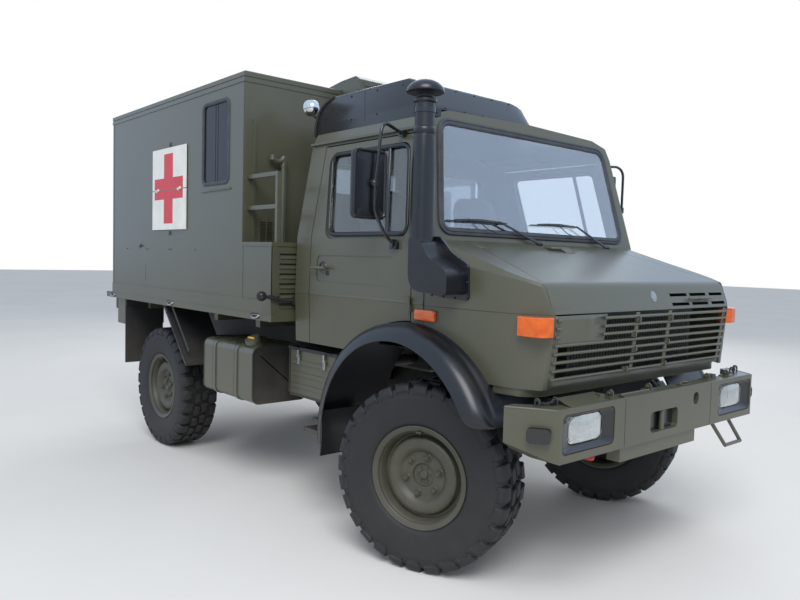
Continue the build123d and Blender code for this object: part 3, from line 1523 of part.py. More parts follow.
# Fuel tank, right side: rounded tank with two straps, brackets to the rail, filler neck and cap
tank_front_x = front_axle_x - 1510
tank_rear_x = front_axle_x - 2240
tank_far = 1150
tank_near = 700
tank_low = 650
tank_high = 1050
tank_corner = 55
strap_out = 6
strap_places = [tank_front_x - 230, tank_front_x - 560]
strap_half = 25
filler_x = tank_front_x - 90
with BuildPart() as fuel_tank:
    with BuildSketch(Plane.YZ.offset(tank_rear_x)):
        with Locations((-(tank_far + tank_near) / 2, (tank_low + tank_high) / 2)):
            RectangleRounded(tank_far - tank_near, tank_high - tank_low, tank_corner)
    extrude(amount=tank_front_x - tank_rear_x)
    for x in strap_places:
        with BuildSketch(Plane.YZ.offset(x - strap_half)):
            with Locations((-(tank_far + tank_near) / 2, (tank_low + tank_high) / 2)):
                RectangleRounded(
                    tank_far - tank_near + 2 * strap_out, tank_high - tank_low + 2 * strap_out,
                    tank_corner + strap_out,
                )
        extrude(amount=2 * strap_half)
        block((x - strap_half, -tank_near - 10, 860), (x + strap_half, -rail_high, 900))
    rod((filler_x, -1060, 1030), (filler_x, -1090, 1080), 44)
    rod((filler_x, -1090, 1080), (filler_x, -1106, 1107), 54)
keep(fuel_tank.part, "fuel_tank")

# Battery box and its step on the right, tool box and step on the left, rear stowage boxes
under_rear_x = front_axle_x - 1330
under_front_x = arch_x - arch_radius - 15
under_near = 600
under_far = 960
under_low = 740
under_high = 1075
hanger = 20
step_rear_x = front_axle_x - 1130
step_front_x = front_axle_x - 790
step_z = 520
stowage_rear_x = rear_axle_x - 910
stowage_front_x = rear_axle_x - 680
with BuildPart() as under_boxes:
    for side, sign in sides:
        low_y, high_y = span(sign, under_near, under_far)
        block((under_rear_x, low_y, under_low), (under_front_x, high_y, under_high))
        low_y, high_y = span(sign, rail_high, under_near)
        for x in (under_rear_x + 130, under_front_x - 150):
            block((x, low_y, 860), (x + 60, high_y, 900))
        # Three pressed ribs on the outer face
        low_y, high_y = span(sign, under_far - 2, under_far + 6)
        for low_z in (under_low + 60, under_low + 140, under_low + 220):
            block((under_rear_x + 40, low_y, low_z), (under_front_x - 60, high_y, low_z + 26))
        # Entry step on two hangers
        low_y, high_y = span(sign, 700, under_far)
        block((step_rear_x, low_y, step_z), (step_front_x, high_y, step_z + hanger))
        for x in (step_rear_x + 10, step_front_x - 30):
            near, far = span(sign, 720, 740)
            block((x, near, step_z + hanger), (x + hanger, far, under_low))
        # Stowage box under the rear of the deck
        low_y, high_y = span(sign, 760, 1120)
        block((stowage_rear_x, low_y, 1005), (stowage_front_x, high_y, deck_bottom_z))
keep(under_boxes.part, "under_boxes")

# Air reservoirs and silencer, left side
reservoir_radius = 110
reservoir_y = 700
reservoir_front_x = front_axle_x - 1560
reservoir_rear_x = front_axle_x - 2250
with BuildPart() as air_tanks:
    for z in (1010, 760):
        rod((reservoir_rear_x, reservoir_y, z), (reservoir_front_x, reservoir_y, z), reservoir_radius)
    for x in (reservoir_rear_x + 150, reservoir_front_x - 190):
        block((x - 20, rail_high, 860), (x + 20, reservoir_y - 60, 900))
        block((x - 20, reservoir_y - 100, 700), (x + 20, reservoir_y - 60, 1070))
keep(air_tanks.part, "air_tanks")

# Rear mudguards: slanted metal front piece, rubber flap behind the wheel
guard_near = 790
guard_far = 1150
guard_reach = 680
guard_low_z = 800
flap_back = 640
with BuildPart() as rear_mudguards:
    for side, sign in sides:
        low_y, high_y = span(sign, guard_near, guard_far)
        side_prism(
            [(rear_axle_x + 240, deck_bottom_z), (rear_axle_x + 270, deck_bottom_z),
             (rear_axle_x + guard_reach, guard_low_z), (rear_axle_x + guard_reach - 30, guard_low_z)],
            low_y, high_y,
        )
        block(
            (rear_axle_x - flap_back, low_y, 650),
            (rear_axle_x - flap_back + flap_sheet, high_y, deck_bottom_z),
        )
keep(rear_mudguards.part, "rear_mudguards")
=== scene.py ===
import json
from math import cos, pi, radians, sin, tau
import bmesh
import bpy
import numpy as np
from mathutils import Matrix, Vector


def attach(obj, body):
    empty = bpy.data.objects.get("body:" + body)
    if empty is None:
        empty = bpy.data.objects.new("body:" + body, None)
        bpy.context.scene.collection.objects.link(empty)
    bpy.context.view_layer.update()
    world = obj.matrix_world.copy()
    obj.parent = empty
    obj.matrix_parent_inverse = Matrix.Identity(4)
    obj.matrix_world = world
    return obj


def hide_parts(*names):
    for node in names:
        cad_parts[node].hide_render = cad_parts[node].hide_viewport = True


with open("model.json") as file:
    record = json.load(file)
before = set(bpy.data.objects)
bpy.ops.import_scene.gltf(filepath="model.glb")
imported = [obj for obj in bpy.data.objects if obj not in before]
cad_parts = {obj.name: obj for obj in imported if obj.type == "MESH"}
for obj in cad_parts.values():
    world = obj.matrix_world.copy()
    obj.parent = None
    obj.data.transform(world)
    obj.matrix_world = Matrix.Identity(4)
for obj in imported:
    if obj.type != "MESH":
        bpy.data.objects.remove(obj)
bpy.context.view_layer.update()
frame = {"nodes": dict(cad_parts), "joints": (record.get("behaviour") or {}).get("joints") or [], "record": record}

# Lengths below are millimetres in the CAD frame: x forward, y to the vehicle's left, z up
frontAxleX = 1690
sideSigns = {"right": -1, "left": 1}


# Shapes: each is (points, faces), worked out as whole arrays


def gridFaces(rows, cols, closeRows=False, closeCols=False):
    # quad (i, j) joins grid points i,j  i,j+1  i+1,j+1  i+1,j, wrapping round where closed
    a, b = np.meshgrid(np.arange(rows if closeRows else rows - 1),
                       np.arange(cols if closeCols else cols - 1), indexing="ij")
    c, d = (a + 1) % rows, (b + 1) % cols
    return np.stack([a * cols + b, a * cols + d, c * cols + d, c * cols + b], -1).reshape(-1, 4).tolist()


def joined(*shapes):
    # points stacked, each face list shifted by the points before it
    points, faces, start = [], [], 0
    for p, f in shapes:
        points.append(np.asarray(p, float))
        faces += [[i + start for i in face] for face in f]
        start += len(p)
    return np.concatenate(points), faces


def moved(shape, offset=(0, 0, 0), axes=None):
    # point = offset + its coordinates along the given axes
    points = np.asarray(shape[0], float)
    if axes is not None:
        points = points @ np.asarray(axes, float)
    return points + np.asarray(offset, float), shape[1]


def otherSide(shape):
    # mirror image across the middle plane y = 0, faces turned back outwards
    return shape[0] * [1, -1, 1], [face[::-1] for face in shape[1]]


def bothSides(shape):
    # the shape and its mirror image together
    return joined(shape, otherSide(shape))


def asItIs(shape):
    # the right side, as drawn
    return shape


onSide = {"right": asItIs, "left": otherSide}


def prism(outline, low, high, axis="y"):
    # flat outline (u, v) pushed from low to high along one axis
    # y: u = x, v = z; x: u = y, v = z; z: u = x, v = y
    uv = np.asarray(outline, float)
    order = {"y": (0, 2, 1), "x": (1, 2, 0), "z": (0, 1, 2)}[axis]
    points = np.empty((2 * len(uv), 3))
    points[:, order[0]] = np.tile(uv[:, 0], 2)
    points[:, order[1]] = np.tile(uv[:, 1], 2)
    points[:, order[2]] = np.repeat([low, high], len(uv))
    n = len(uv)
    return points, gridFaces(2, n, closeCols=True) + [list(range(n)), list(range(2 * n - 1, n - 1, -1))]


def roundedRect(u0, v0, u1, v1, radius, steps=6):
    # four quarter circles of one radius, joined by straight sides, anticlockwise
    turn = np.linspace(0, pi / 2, steps + 1)
    corners = [(u1 - radius, v1 - radius, 0), (u0 + radius, v1 - radius, 1),
               (u0 + radius, v0 + radius, 2), (u1 - radius, v0 + radius, 3)]
    return np.concatenate([np.stack([u + radius * np.cos(turn + k * pi / 2),
                                     v + radius * np.sin(turn + k * pi / 2)], -1) for u, v, k in corners])


def slab(low, high, axis="x", radius=0):
    # a plate between two corners, its outline rounded across the named axis
    keep = [i for i in range(3) if "xyz"[i] != axis]
    a, b = keep
    k = "xyz".index(axis)
    u0, u1 = sorted((low[a], high[a]))
    v0, v1 = sorted((low[b], high[b]))
    outline = roundedRect(u0, v0, u1, v1, radius) if radius else [(u0, v0), (u1, v0), (u1, v1), (u0, v1)]
    return prism(outline, low[k], high[k], axis)


def turnAxes(axis):
    # three unit axes whose third one lies along the given direction
    z = np.asarray(axis, float) / np.linalg.norm(axis)
    x = np.cross([0, 0, 1] if abs(z[2]) < 0.9 else [1, 0, 0], z)
    x /= np.linalg.norm(x)
    return np.array([x, np.cross(z, x), z])


def lathe(profile, origin=(0, 0, 0), axis=(0, 0, 1), segments=48, start=0, arc=tau):
    # profile (radius, height) turned round the axis: (r cos t, r sin t, h)
    profile = np.asarray(profile, float)
    closed = arc >= tau
    t = start + np.linspace(0, arc, segments + (not closed), endpoint=not closed)
    points = np.stack([profile[:, 0] * np.cos(t)[:, None], profile[:, 0] * np.sin(t)[:, None],
                       np.broadcast_to(profile[:, 1], (len(t), len(profile)))], -1).reshape(-1, 3)
    return moved((points, gridFaces(len(t), len(profile), closeRows=closed)), origin, turnAxes(axis))


def barrel(start, end, radius, chamfer=1.5, segments=24):
    # closed round bar with chamfered ends
    way = np.subtract(end, start)
    length = np.linalg.norm(way)
    c = min(chamfer, radius * 0.4)
    profile = [(0, 0), (radius - c, 0), (radius, c), (radius, length - c), (radius - c, length), (0, length)]
    return lathe(profile, start, way, segments)


def quadraticCurve(start, corner, end, s):
    # start (1 - s)^2 + 2 corner s (1 - s) + end s^2
    return start * (1 - s) ** 2 + 2 * corner * s * (1 - s) + end * s ** 2


def cutCorners(before, corner, after, radius, steps):
    # each corner replaced by a quadratic curve between points one radius away on its two runs
    lengthBefore = np.linalg.norm(before - corner, axis=1, keepdims=True)
    lengthAfter = np.linalg.norm(after - corner, axis=1, keepdims=True)
    first = corner + (before - corner) * np.minimum(radius / lengthBefore, 0.48)
    last = corner + (after - corner) * np.minimum(radius / lengthAfter, 0.48)
    s = np.linspace(0, 1, steps + 1)[None, :, None]
    return quadraticCurve(first[:, None], corner[:, None], last[:, None], s).reshape(-1, corner.shape[1])


def roundedPath(points, radius, steps=6):
    # an open path with its corners cut; both ends stay
    points = np.asarray(points, float)
    bends = cutCorners(points[:-2], points[1:-1], points[2:], radius, steps)
    return np.concatenate([points[:1], bends, points[-1:]])


def roundedLoop(points, radius, steps=8):
    # a closed outline with every corner cut
    points = np.asarray(points, float)
    return cutCorners(np.roll(points, 1, 0), points, np.roll(points, -1, 0), radius, steps)


def swept(path, profile, closed=False, up=(0, 0, 1), cap=True, scale=None):
    # profile (u, v) carried along the path: point = path + u side + v over, both square to its direction
    path, profile = np.asarray(path, float), np.asarray(profile, float)
    way = (np.roll(path, -1, 0) - np.roll(path, 1, 0)) if closed else np.gradient(path, axis=0)
    way /= np.linalg.norm(way, axis=1, keepdims=True)
    side = np.cross(way, np.asarray(up, float))
    side /= np.linalg.norm(side, axis=1, keepdims=True)
    over = np.cross(side, way)
    size = np.ones(len(path)) if scale is None else np.asarray(scale, float)
    points = path[:, None] + size[:, None, None] * (
        profile[None, :, 0, None] * side[:, None] + profile[None, :, 1, None] * over[:, None])
    faces = gridFaces(len(path), len(profile), closeRows=closed, closeCols=True)
    n = len(profile)
    if cap and not closed:
        last = (len(path) - 1) * n
        faces += [list(range(n))[::-1], list(range(last, last + n))]
    return points.reshape(-1, 3), faces


def ringProfile(radius, count=14):
    # circle: (r cos t, r sin t)
    t = np.linspace(0, tau, count, endpoint=False)
    return np.stack([radius * np.cos(t), radius * np.sin(t)], -1)


def tube(points, radius, bend=30, count=14):
    # round bar along a path with rounded corners; its frame turns about the direction least along it
    path = roundedPath(points, bend) if len(points) > 2 else np.asarray(points, float)
    spread = np.ptp(path, axis=0)
    up = np.eye(3)[int(np.argmin(spread))] + [0.003, 0.002, 0.001]
    return swept(path, ringProfile(radius, count), up=up)


def hexHeads(places, normal, size=9, height=5):
    # six-sided bolt heads with a chamfered top, all of one size, on points that share one normal
    t = np.linspace(0, tau, 6, endpoint=False)
    ring = np.stack([np.cos(t), np.sin(t)], -1)
    layers = [np.c_[ring * size, np.full(6, -1.0)], np.c_[ring * size, np.full(6, height * 0.75)],
              np.c_[ring * size * 0.82, np.full(6, height)]]
    head = (np.concatenate(layers),
            gridFaces(3, 6, closeCols=True) + [list(range(12, 18)), [5, 4, 3, 2, 1, 0]])
    axes = turnAxes(normal)
    return joined(*[moved(head, place, axes) for place in places])


def blendedSurface(stations):
    # a skin over rings of equal length, one after another, closed at both ends
    rings = np.asarray(stations, float)
    n, m = rings.shape[:2]
    faces = gridFaces(n, m, closeCols=True) + [list(range(m))[::-1], list(range((n - 1) * m, n * m))]
    return rings.reshape(-1, 3), faces


# Materials, each named for its real finish


def hexColour(code):
    # sRGB hex to linear: c/12.92 under 0.04045, else ((c + 0.055)/1.055) to the power 2.4
    c = np.array([int(code[i:i + 2], 16) / 255 for i in (1, 3, 5)])
    return (*np.where(c <= 0.04045, c / 12.92, ((c + 0.055) / 1.055) ** 2.4), 1.0)


def addNode(tree, kind, settings=None, links=None):
    # a node with its settings and the sockets that feed it
    node = tree.nodes.new(kind)
    for name, value in (settings or {}).items():
        if hasattr(node, str(name)):
            setattr(node, name, value)
        else:
            node.inputs[name].default_value = value
    for name, source in (links or {}).items():
        tree.links.new(source, node.inputs[name])
    return node


def patterned(tree, where, spec):
    # noise of a real size in mm between two hex colours, roughness swinging with it, fine grain as bump
    broad = addNode(tree, "ShaderNodeTexNoise",
                    {"Scale": 1000 / spec["patchMm"], "Detail": 5.0, "Roughness": 0.6}, {"Vector": where})
    colours = addNode(tree, "ShaderNodeValToRGB", links={"Fac": broad.outputs["Fac"]})
    colours.color_ramp.elements[0].position, colours.color_ramp.elements[1].position = 0.32, 0.7
    colours.color_ramp.elements[0].color = hexColour(spec["dark"])
    colours.color_ramp.elements[1].color = hexColour(spec["light"])
    grain = addNode(tree, "ShaderNodeTexNoise", {"Scale": 1000 / spec["grainMm"], "Detail": 2.0},
                    {"Vector": where})
    bump = addNode(tree, "ShaderNodeBump", {"Strength": spec["bump"], "Distance": 0.001},
                   {"Height": grain.outputs["Fac"]})
    rough = addNode(tree, "ShaderNodeMapRange", {"To Min": spec["rough"] - spec.get("swing", 0.06),
                                                 "To Max": spec["rough"] + spec.get("swing", 0.06)},
                    {"Value": broad.outputs["Fac"]})
    return colours.outputs["Color"], rough.outputs["Result"], bump.outputs["Normal"]


def dusted(tree, where, colour, spec):
    # road dust: a film that thickens below a height, broken up by noise
    height = addNode(tree, "ShaderNodeSeparateXYZ", links={"Vector": where})
    low = addNode(tree, "ShaderNodeMapRange", {"From Min": spec["dustTop"] / 1000, "From Max": 0.2,
                                               "To Min": 0.0, "To Max": spec["dust"]},
                  {"Value": height.outputs["Z"]})
    cloud = addNode(tree, "ShaderNodeTexNoise", {"Scale": 7.0, "Detail": 6.0, "Roughness": 0.7},
                    {"Vector": where})
    film = addNode(tree, "ShaderNodeMath", {"operation": "MULTIPLY"},
                   {0: low.outputs["Result"], 1: cloud.outputs["Fac"]})
    mixed = addNode(tree, "ShaderNodeMix", {"data_type": "RGBA"}, {0: film.outputs[0], 6: colour})
    mixed.inputs[7].default_value = hexColour("#8A8072")
    return mixed.outputs[2]


def finishOf(name, **spec):
    # a material from its sockets and, where colours are given, its pattern and dust
    material = bpy.data.materials.new(name)
    material.use_nodes = True
    tree = material.node_tree
    shader = tree.nodes["Principled BSDF"]
    for socket, value in spec.get("sockets", {}).items():
        shader.inputs[socket].default_value = value
    if "dark" not in spec:
        return material
    where = addNode(tree, "ShaderNodeTexCoord").outputs["Object"]
    colour, rough, normal = patterned(tree, where, spec)
    if "dust" in spec:
        colour = dusted(tree, where, colour, spec)
    tree.links.new(colour, shader.inputs["Base Color"])
    tree.links.new(rough, shader.inputs["Roughness"])
    tree.links.new(normal, shader.inputs["Normal"])
    return material


# Matt two-pack olive over primed steel: faint cloudiness, a little road dust low down
olivePaint = finishOf("oliveMattPaintOnSteel", dark="#484939", light="#504F3F", patchMm=700, grainMm=9,
                      bump=0.08, rough=0.4, dust=0.12, dustTop=1100,
                      sockets={"Coat Weight": 0.35, "Coat Roughness": 0.22})
# The same paint sprayed on cast and pressed wheel steel, darker with brake dust
wheelPaint = finishOf("oliveWheelPaint", dark="#38382D", light="#424236", patchMm=120, grainMm=5, bump=0.25,
                      rough=0.5, dust=0.3, dustTop=900)
# Satin black chassis enamel with grime
frameEnamel = finishOf("blackChassisEnamel", dark="#1B1B1A", light="#2B2A27", patchMm=150, grainMm=6,
                       bump=0.35, rough=0.55, dust=0.7, dustTop=1000)
# Satin black powder coat on sheet and tube: soft wide highlight
blackCoat = finishOf("satinBlackPowderCoat", dark="#131417", light="#191B1F", patchMm=260, grainMm=4,
                     bump=0.1, rough=0.27, swing=0.05, sockets={"Coat Weight": 0.3, "Coat Roughness": 0.15})
# Moulded black polyurethane of flares and air intake: fine leathery grain
blackMoulding = finishOf("mouldedBlackPolyurethane", dark="#121316", light="#1A1C20", patchMm=180, grainMm=6,
                         bump=0.15, rough=0.32, swing=0.05, dust=0.1, dustTop=1100)
# Tyre rubber: carbon black compound, browned by dust in the tread
tyreRubber = finishOf("tyreRubber", dark="#141416", light="#1D1D1F", patchMm=60, grainMm=5, bump=0.3,
                      rough=0.66, dust=0.1, dustTop=900)
flapRubber = finishOf("mudflapRubber", dark="#161616", light="#242322", patchMm=90, grainMm=6, bump=0.3,
                      rough=0.7, dust=0.6, dustTop=1100)
# Dark grey extruded rubber of the window surrounds, a little chalky from sun
gasketRubber = finishOf("weatheredGreyRubber", dark="#34363A", light="#46494E", patchMm=80, grainMm=5,
                        bump=0.2, rough=0.62)
# Toughened float glass with a faint blue-green tint
tintedGlass = finishOf("tintedSafetyGlass",
                       sockets={"Base Color": hexColour("#E9F0F2"), "Roughness": 0.0, "IOR": 1.5,
                                "Transmission Weight": 1.0, "Metallic": 0.03})
# Windscreen: the same glass with a sun-control coat that mirrors the sky faintly
screenGlass = finishOf("coatedWindscreenGlass",
                       sockets={"Base Color": hexColour("#E6F0FC"), "Roughness": 0.0, "IOR": 1.6,
                                "Transmission Weight": 1.0, "Metallic": 0.16})
# Box window: a dark pane drawn opaque and near black, painted shade of the unlit box inside seen through the
# window
boxWindowShade = finishOf("smokedAcrylicPane", dark="#17171A", light="#1D1D21", patchMm=300, grainMm=60,
                      bump=0.02, rough=0.2, swing=0.02, sockets={"Specular IOR Level": 0.3})
# Pressed lamp glass
clearLens = finishOf("pressedLampGlass", sockets={
    "Base Color": hexColour("#F4F7F8"), "Roughness": 0.05, "IOR": 1.5, "Transmission Weight": 1.0})
# Vacuum-plated lamp bowl
platedBowl = finishOf("aluminisedReflector", dark="#C9CBCC", light="#E6E7E8", patchMm=40, grainMm=12,
                      bump=0.05, rough=0.12, swing=0.03, sockets={"Metallic": 1.0})
# Moulded acrylic lenses, lightly sun-bleached
amberLens = finishOf("amberAcrylicLens", dark="#C9540C", light="#E06A16", patchMm=40, grainMm=5, bump=0.35,
                     rough=0.2, swing=0.05, sockets={"Coat Weight": 0.5, "Subsurface Weight": 0.15})
redLens = finishOf("redAcrylicLens", dark="#8E0F0E", light="#B01A16", patchMm=40, grainMm=5, bump=0.35,
                   rough=0.2, swing=0.05, sockets={"Coat Weight": 0.5})
# Zinc-plated fasteners and wire, dulled by weather
zincPlate = finishOf("weatheredZincPlate", dark="#8B8C8A", light="#B4B5B2", patchMm=25, grainMm=4, bump=0.2,
                     rough=0.38, sockets={"Metallic": 1.0})
# Polished chrome lamp shell
chromePlate = finishOf("chromePlate", dark="#C4C6C8", light="#DADCDD", patchMm=60, grainMm=20, bump=0.02,
                       rough=0.08, swing=0.02, sockets={"Metallic": 1.0})
# Moulded yellow filler cap
yellowCap = finishOf("yellowPolyethyleneCap", dark="#D9A22A", light="#EDBB3C", patchMm=50, grainMm=6,
                     bump=0.2, rough=0.45)
# Red gladhand cover
redCap = finishOf("redPolyethyleneCap", dark="#9E1B16", light="#B92820", patchMm=50, grainMm=6, bump=0.2,
                  rough=0.45)
# White enamel board paint, slightly uneven
boardWhite = finishOf("whiteBoardEnamel", dark="#DDDEDA", light="#ECECE8", patchMm=120, grainMm=8, bump=0.1,
                      rough=0.42)
boardRed = finishOf("redBoardEnamel", dark="#C3232B", light="#D6323A", patchMm=100, grainMm=8, bump=0.1,
                    rough=0.4)
# Black leathercloth of the seats: embossed grain about 3 mm across, drawn at 6 mm so that it shows
seatCloth = finishOf("blackLeathercloth", dark="#1A1A1B", light="#262628", patchMm=90, grainMm=6, bump=0.5,
                     rough=0.5)
# Grained dashboard moulding
dashMoulding = finishOf("grainedBlackAbs", dark="#1C1D1E", light="#262728", patchMm=150, grainMm=5, bump=0.4,
                        rough=0.55)
castIron = finishOf("paintedCastIron", dark="#2A2B29", light="#3A3A37", patchMm=80, grainMm=7, bump=0.6,
                    rough=0.62)
# Mirror silver behind glass
mirrorSilver = finishOf("silveredMirror", dark="#D4D8DA", light="#E2E5E7", patchMm=300, grainMm=90, bump=0.0,
                        rough=0.03, swing=0.01, sockets={"Metallic": 1.0})
print("materials ready:", len(bpy.data.materials))


def addPiece(name, shape, material, body="chassis", bevel=0, segments=2, subdivide=0, sharp=32, wall=0,
             stands=()):
    # points in mm go into a mesh at the origin: doubles merged, normals outwards,
    # soft shading up to the sharp angle
    mesh = bpy.data.meshes.new(name)
    mesh.from_pydata((np.asarray(shape[0]) / 1000).tolist(), [], shape[1])
    work = bmesh.new()
    work.from_mesh(mesh)
    bmesh.ops.remove_doubles(work, verts=work.verts, dist=1e-6)
    bmesh.ops.recalc_face_normals(work, faces=work.faces)
    work.to_mesh(mesh)
    work.free()
    mesh.polygons.foreach_set("use_smooth", np.ones(len(mesh.polygons), bool))
    mesh.set_sharp_from_angle(angle=radians(sharp))
    mesh.materials.append(material)
    piece = bpy.data.objects.new(name, mesh)
    bpy.context.scene.collection.objects.link(piece)
    if wall:
        thick = piece.modifiers.new("wall", "SOLIDIFY")
        thick.thickness, thick.offset = wall / 1000, 0
    if subdivide:
        smooth = piece.modifiers.new("smooth", "SUBSURF")
        smooth.levels = smooth.render_levels = subdivide
    if bevel:
        edge = piece.modifiers.new("edge", "BEVEL")
        edge.width, edge.segments, edge.limit_method = bevel / 1000, segments, "ANGLE"
        edge.angle_limit = radians(38)
        edge.harden_normals = True
    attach(piece, body)
    if stands:
        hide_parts(*stands)
    return piece


# Tyres and wheels

joints = {joint["name"]: joint for joint in frame["joints"]}


def wheelPlace(axle, side):
    # wheel centre in mm and its axes: forward roll, up, outward
    joint = joints[f"{axle}_{side}_spin"]
    outward = np.array(joint["axis"], float)
    outward *= sideSigns[side] * np.sign(outward[1])
    up = np.array([0, 0, 1.0])
    return np.array(joint["pos_m"]) * 1000, np.array([np.cross(up, outward), up, outward])


tyre = {"radius": 514.4, "lugs": 28, "lugShare": 0.66, "sectionSteps": 96, "turnSteps": 168}
# Carcass half section: radius, distance outboard; the tread band lies under the lugs
tyreSection = [
    (263, 126), (285, 128), (292, 137), (305, 143), (345, 150), (400, 154.5), (424, 154.5), (428, 156),
    (434, 156), (438, 153.5), (462, 150.5), (484, 142), (489, 128), (490, 90), (490.5, 40), (491, 0)]


def curveThrough(points, count):
    # points resampled evenly along their own length
    points = np.asarray(points, float)
    run = np.r_[0, np.cumsum(np.linalg.norm(np.diff(points, axis=0), axis=1))]
    s = np.linspace(0, run[-1], count)
    return np.stack([np.interp(s, run, points[:, k]) for k in range(points.shape[1])], -1)


def lugGrid(stations, halfWidth, skew):
    # one lug: stations (axial, top radius, foot radius, width share)
    # five points across each, the top ones drawn in
    st = np.asarray(stations, float)
    across = np.array([-1.1, -1.0, -0.93, 0.93, 1.0, 1.1])
    lift = np.array([0, 0.88, 1, 1, 0.88, 0])
    radius = st[:, 2, None] + (st[:, 1] - st[:, 2])[:, None] * lift
    angle = (across * halfWidth * st[:, 3, None] + skew * (st[:, 0, None] - 80)) / tyre["radius"]
    axial = np.broadcast_to(st[:, 0, None], radius.shape)
    points = np.stack([radius * np.sin(angle), radius * np.cos(angle), axial], -1)
    n, m = radius.shape
    return points.reshape(-1, 3), gridFaces(n, m) + [list(range(m))[::-1], list(range((n - 1) * m, n * m))]


def spunCopies(shape, count, offset):
    # the shape repeated round the axle by whole pitches
    t = (np.arange(count) + offset) * tau / count
    turn = np.stack([np.stack([np.cos(t), np.sin(t), 0 * t], -1),
                     np.stack([-np.sin(t), np.cos(t), 0 * t], -1),
                     np.broadcast_to([0, 0, 1.0], (count, 3))], 1)
    points = np.einsum("pk,ckj->cpj", shape[0], turn)
    n = len(shape[0])
    return points.reshape(-1, 3), [[i + c * n for i in face] for c in range(count) for face in shape[1]]


def tyreShape():
    half = curveThrough(tyreSection, tyre["sectionSteps"] // 2)
    section = np.concatenate([half, half[::-1][1:] * [1, -1]])
    carcass = lathe(section, segments=tyre["turnSteps"])
    pitch = tau * tyre["radius"] / tyre["lugs"]
    width = pitch * tyre["lugShare"] / 2
    # shoulder lug: over the tread, round the shoulder and down the sidewall
    turned = [(126, 513, 480, 1.06), (143, 505, 474, 1.1), (151, 492, 466, 1.1)]
    shoulder = lugGrid([(66, 503, 486, 0.86), (70, 514, 486, 0.9), (100, 514.4, 486, 1), *turned,
                        (156, 474, 458, 1.02), (157, 466, 452, 0.92), (152, 458, 448, 0.85)], width, 0.1)
    shortOne = lugGrid([(84, 503, 486, 0.86), (88, 514, 486, 0.9), (108, 514.4, 486, 1), *turned,
                        (156, 480, 462, 1.02), (156, 474, 458, 0.95), (151, 468, 452, 0.9)], width, 0.1)
    centre = lugGrid([(6, 504, 486, 0.8), (9, 514.4, 486, 0.86), (34, 514.9, 486, 1.1),
                      (56, 514.4, 486, 0.92), (59, 503, 486, 0.86)], width * 0.98, 0.35)
    half = tyre["lugs"] // 2
    outer = joined(spunCopies(shoulder, half, 0), spunCopies(shortOne, half, 0.5),
                   spunCopies(centre, tyre["lugs"], 0.5))
    inner = moved(outer, axes=[[-1, 0, 0], [0, 1, 0], [0, 0, -1]])
    return joined(carcass, outer, spunCopies(inner, 1, 0.5 / tyre["lugs"]))


# Half section of the wheel from hub to outer flange and back inside: radius, distance outboard
rimSection = [
    (0, 52), (46, 52), (54, 50), (60, 52), (63, 60), (66, 66), (74, 67), (118, 67), (128, 70), (138, 80),
    (150, 92), (164, 97), (182, 98), (198, 95), (207, 88), (212, 76), (216, 64), (222, 58), (229, 60),
    (234, 72), (240, 92), (246, 108), (251, 114), (251, 124), (256, 130), (270, 135), (279, 138), (283, 136),
    (283, 129), (272, 127), (262, 125), (262, -125), (272, -127), (283, -130), (283, -138), (268, -138),
    (251, -126), (251, 20), (222, 36), (212, 50), (200, 78), (182, 84), (160, 82), (140, 62), (118, 53),
    (85, 53), (85, -30), (50.5, -30), (50.5, 48), (0, 48)]
wheelTrim = {"nutCircle": 102.5, "nuts": 6, "nutSize": 17, "hubCircle": 38, "hubBolts": 6}


def wheelShape():
    # disc and rim turned from their section, nuts and bolts on circles (r cos t, r sin t), cap, valve, weight
    body = lathe(rimSection, segments=96)
    t = np.arange(wheelTrim["nuts"]) * tau / wheelTrim["nuts"] + 0.26
    ring = np.stack([np.cos(t), np.sin(t)], -1)
    nuts = joined(*[joined(
        lathe([(0, 66), (23, 66), (23, 70), (19, 73), (0, 73)], (x, y, 0), segments=20),
        moved(hexHeads([(0, 0, 0)], (0, 0, 1), wheelTrim["nutSize"], 16), (x, y, 72)),
        lathe([(0, 84), (9, 84), (9, 94), (6, 97), (0, 97)], (x, y, 0), segments=14))
        for x, y in ring * wheelTrim["nutCircle"]])
    t = np.arange(wheelTrim["hubBolts"]) * tau / wheelTrim["hubBolts"]
    bolts = hexHeads(np.stack([wheelTrim["hubCircle"] * np.cos(t), wheelTrim["hubCircle"] * np.sin(t),
                               0 * t + 52], -1), (0, 0, 1), 6, 6)
    cap = lathe([(0, 52), (24, 52), (24, 60), (20, 64), (0, 65)], segments=24)
    valve = joined(barrel((0, 240, 84), (0, 236, 118), 4.5, segments=12),
                   barrel((0, 236, 116), (0, 235, 128), 3.6, segments=12))
    weights = slab((-16, 244, 130), (16, 252, 141), "z", 3)
    return joined(body, nuts, bolts, cap, valve, weights)


tyreMesh, wheelMesh = tyreShape(), wheelShape()
for axle in ("front", "rear"):
    for side in sideSigns:
        middle, axes = wheelPlace(axle, side)
        body = f"wheel_{axle}_{side}"
        addPiece(f"tyre.{axle}.{side}", moved(tyreMesh, middle, axes), tyreRubber, body, sharp=40,
                 stands=[f"tyre_{axle}_{side}"])
        addPiece(f"wheel.{axle}.{side}", moved(wheelMesh, middle, axes), wheelPaint, body,
                 sharp=28, stands=[f"wheel_{axle}_{side}"])
print("wheels and tyres done")

# Front wheel arches: black moulded flares with liner and flap

flare = {"centreX": frontAxleX - 35, "centreZ": 620, "radius": 724.4, "start": 22, "steps": 80,
         "flapLow": 485, "flapX": frontAxleX - 668, "flapNear": 800, "flapFar": 1158}
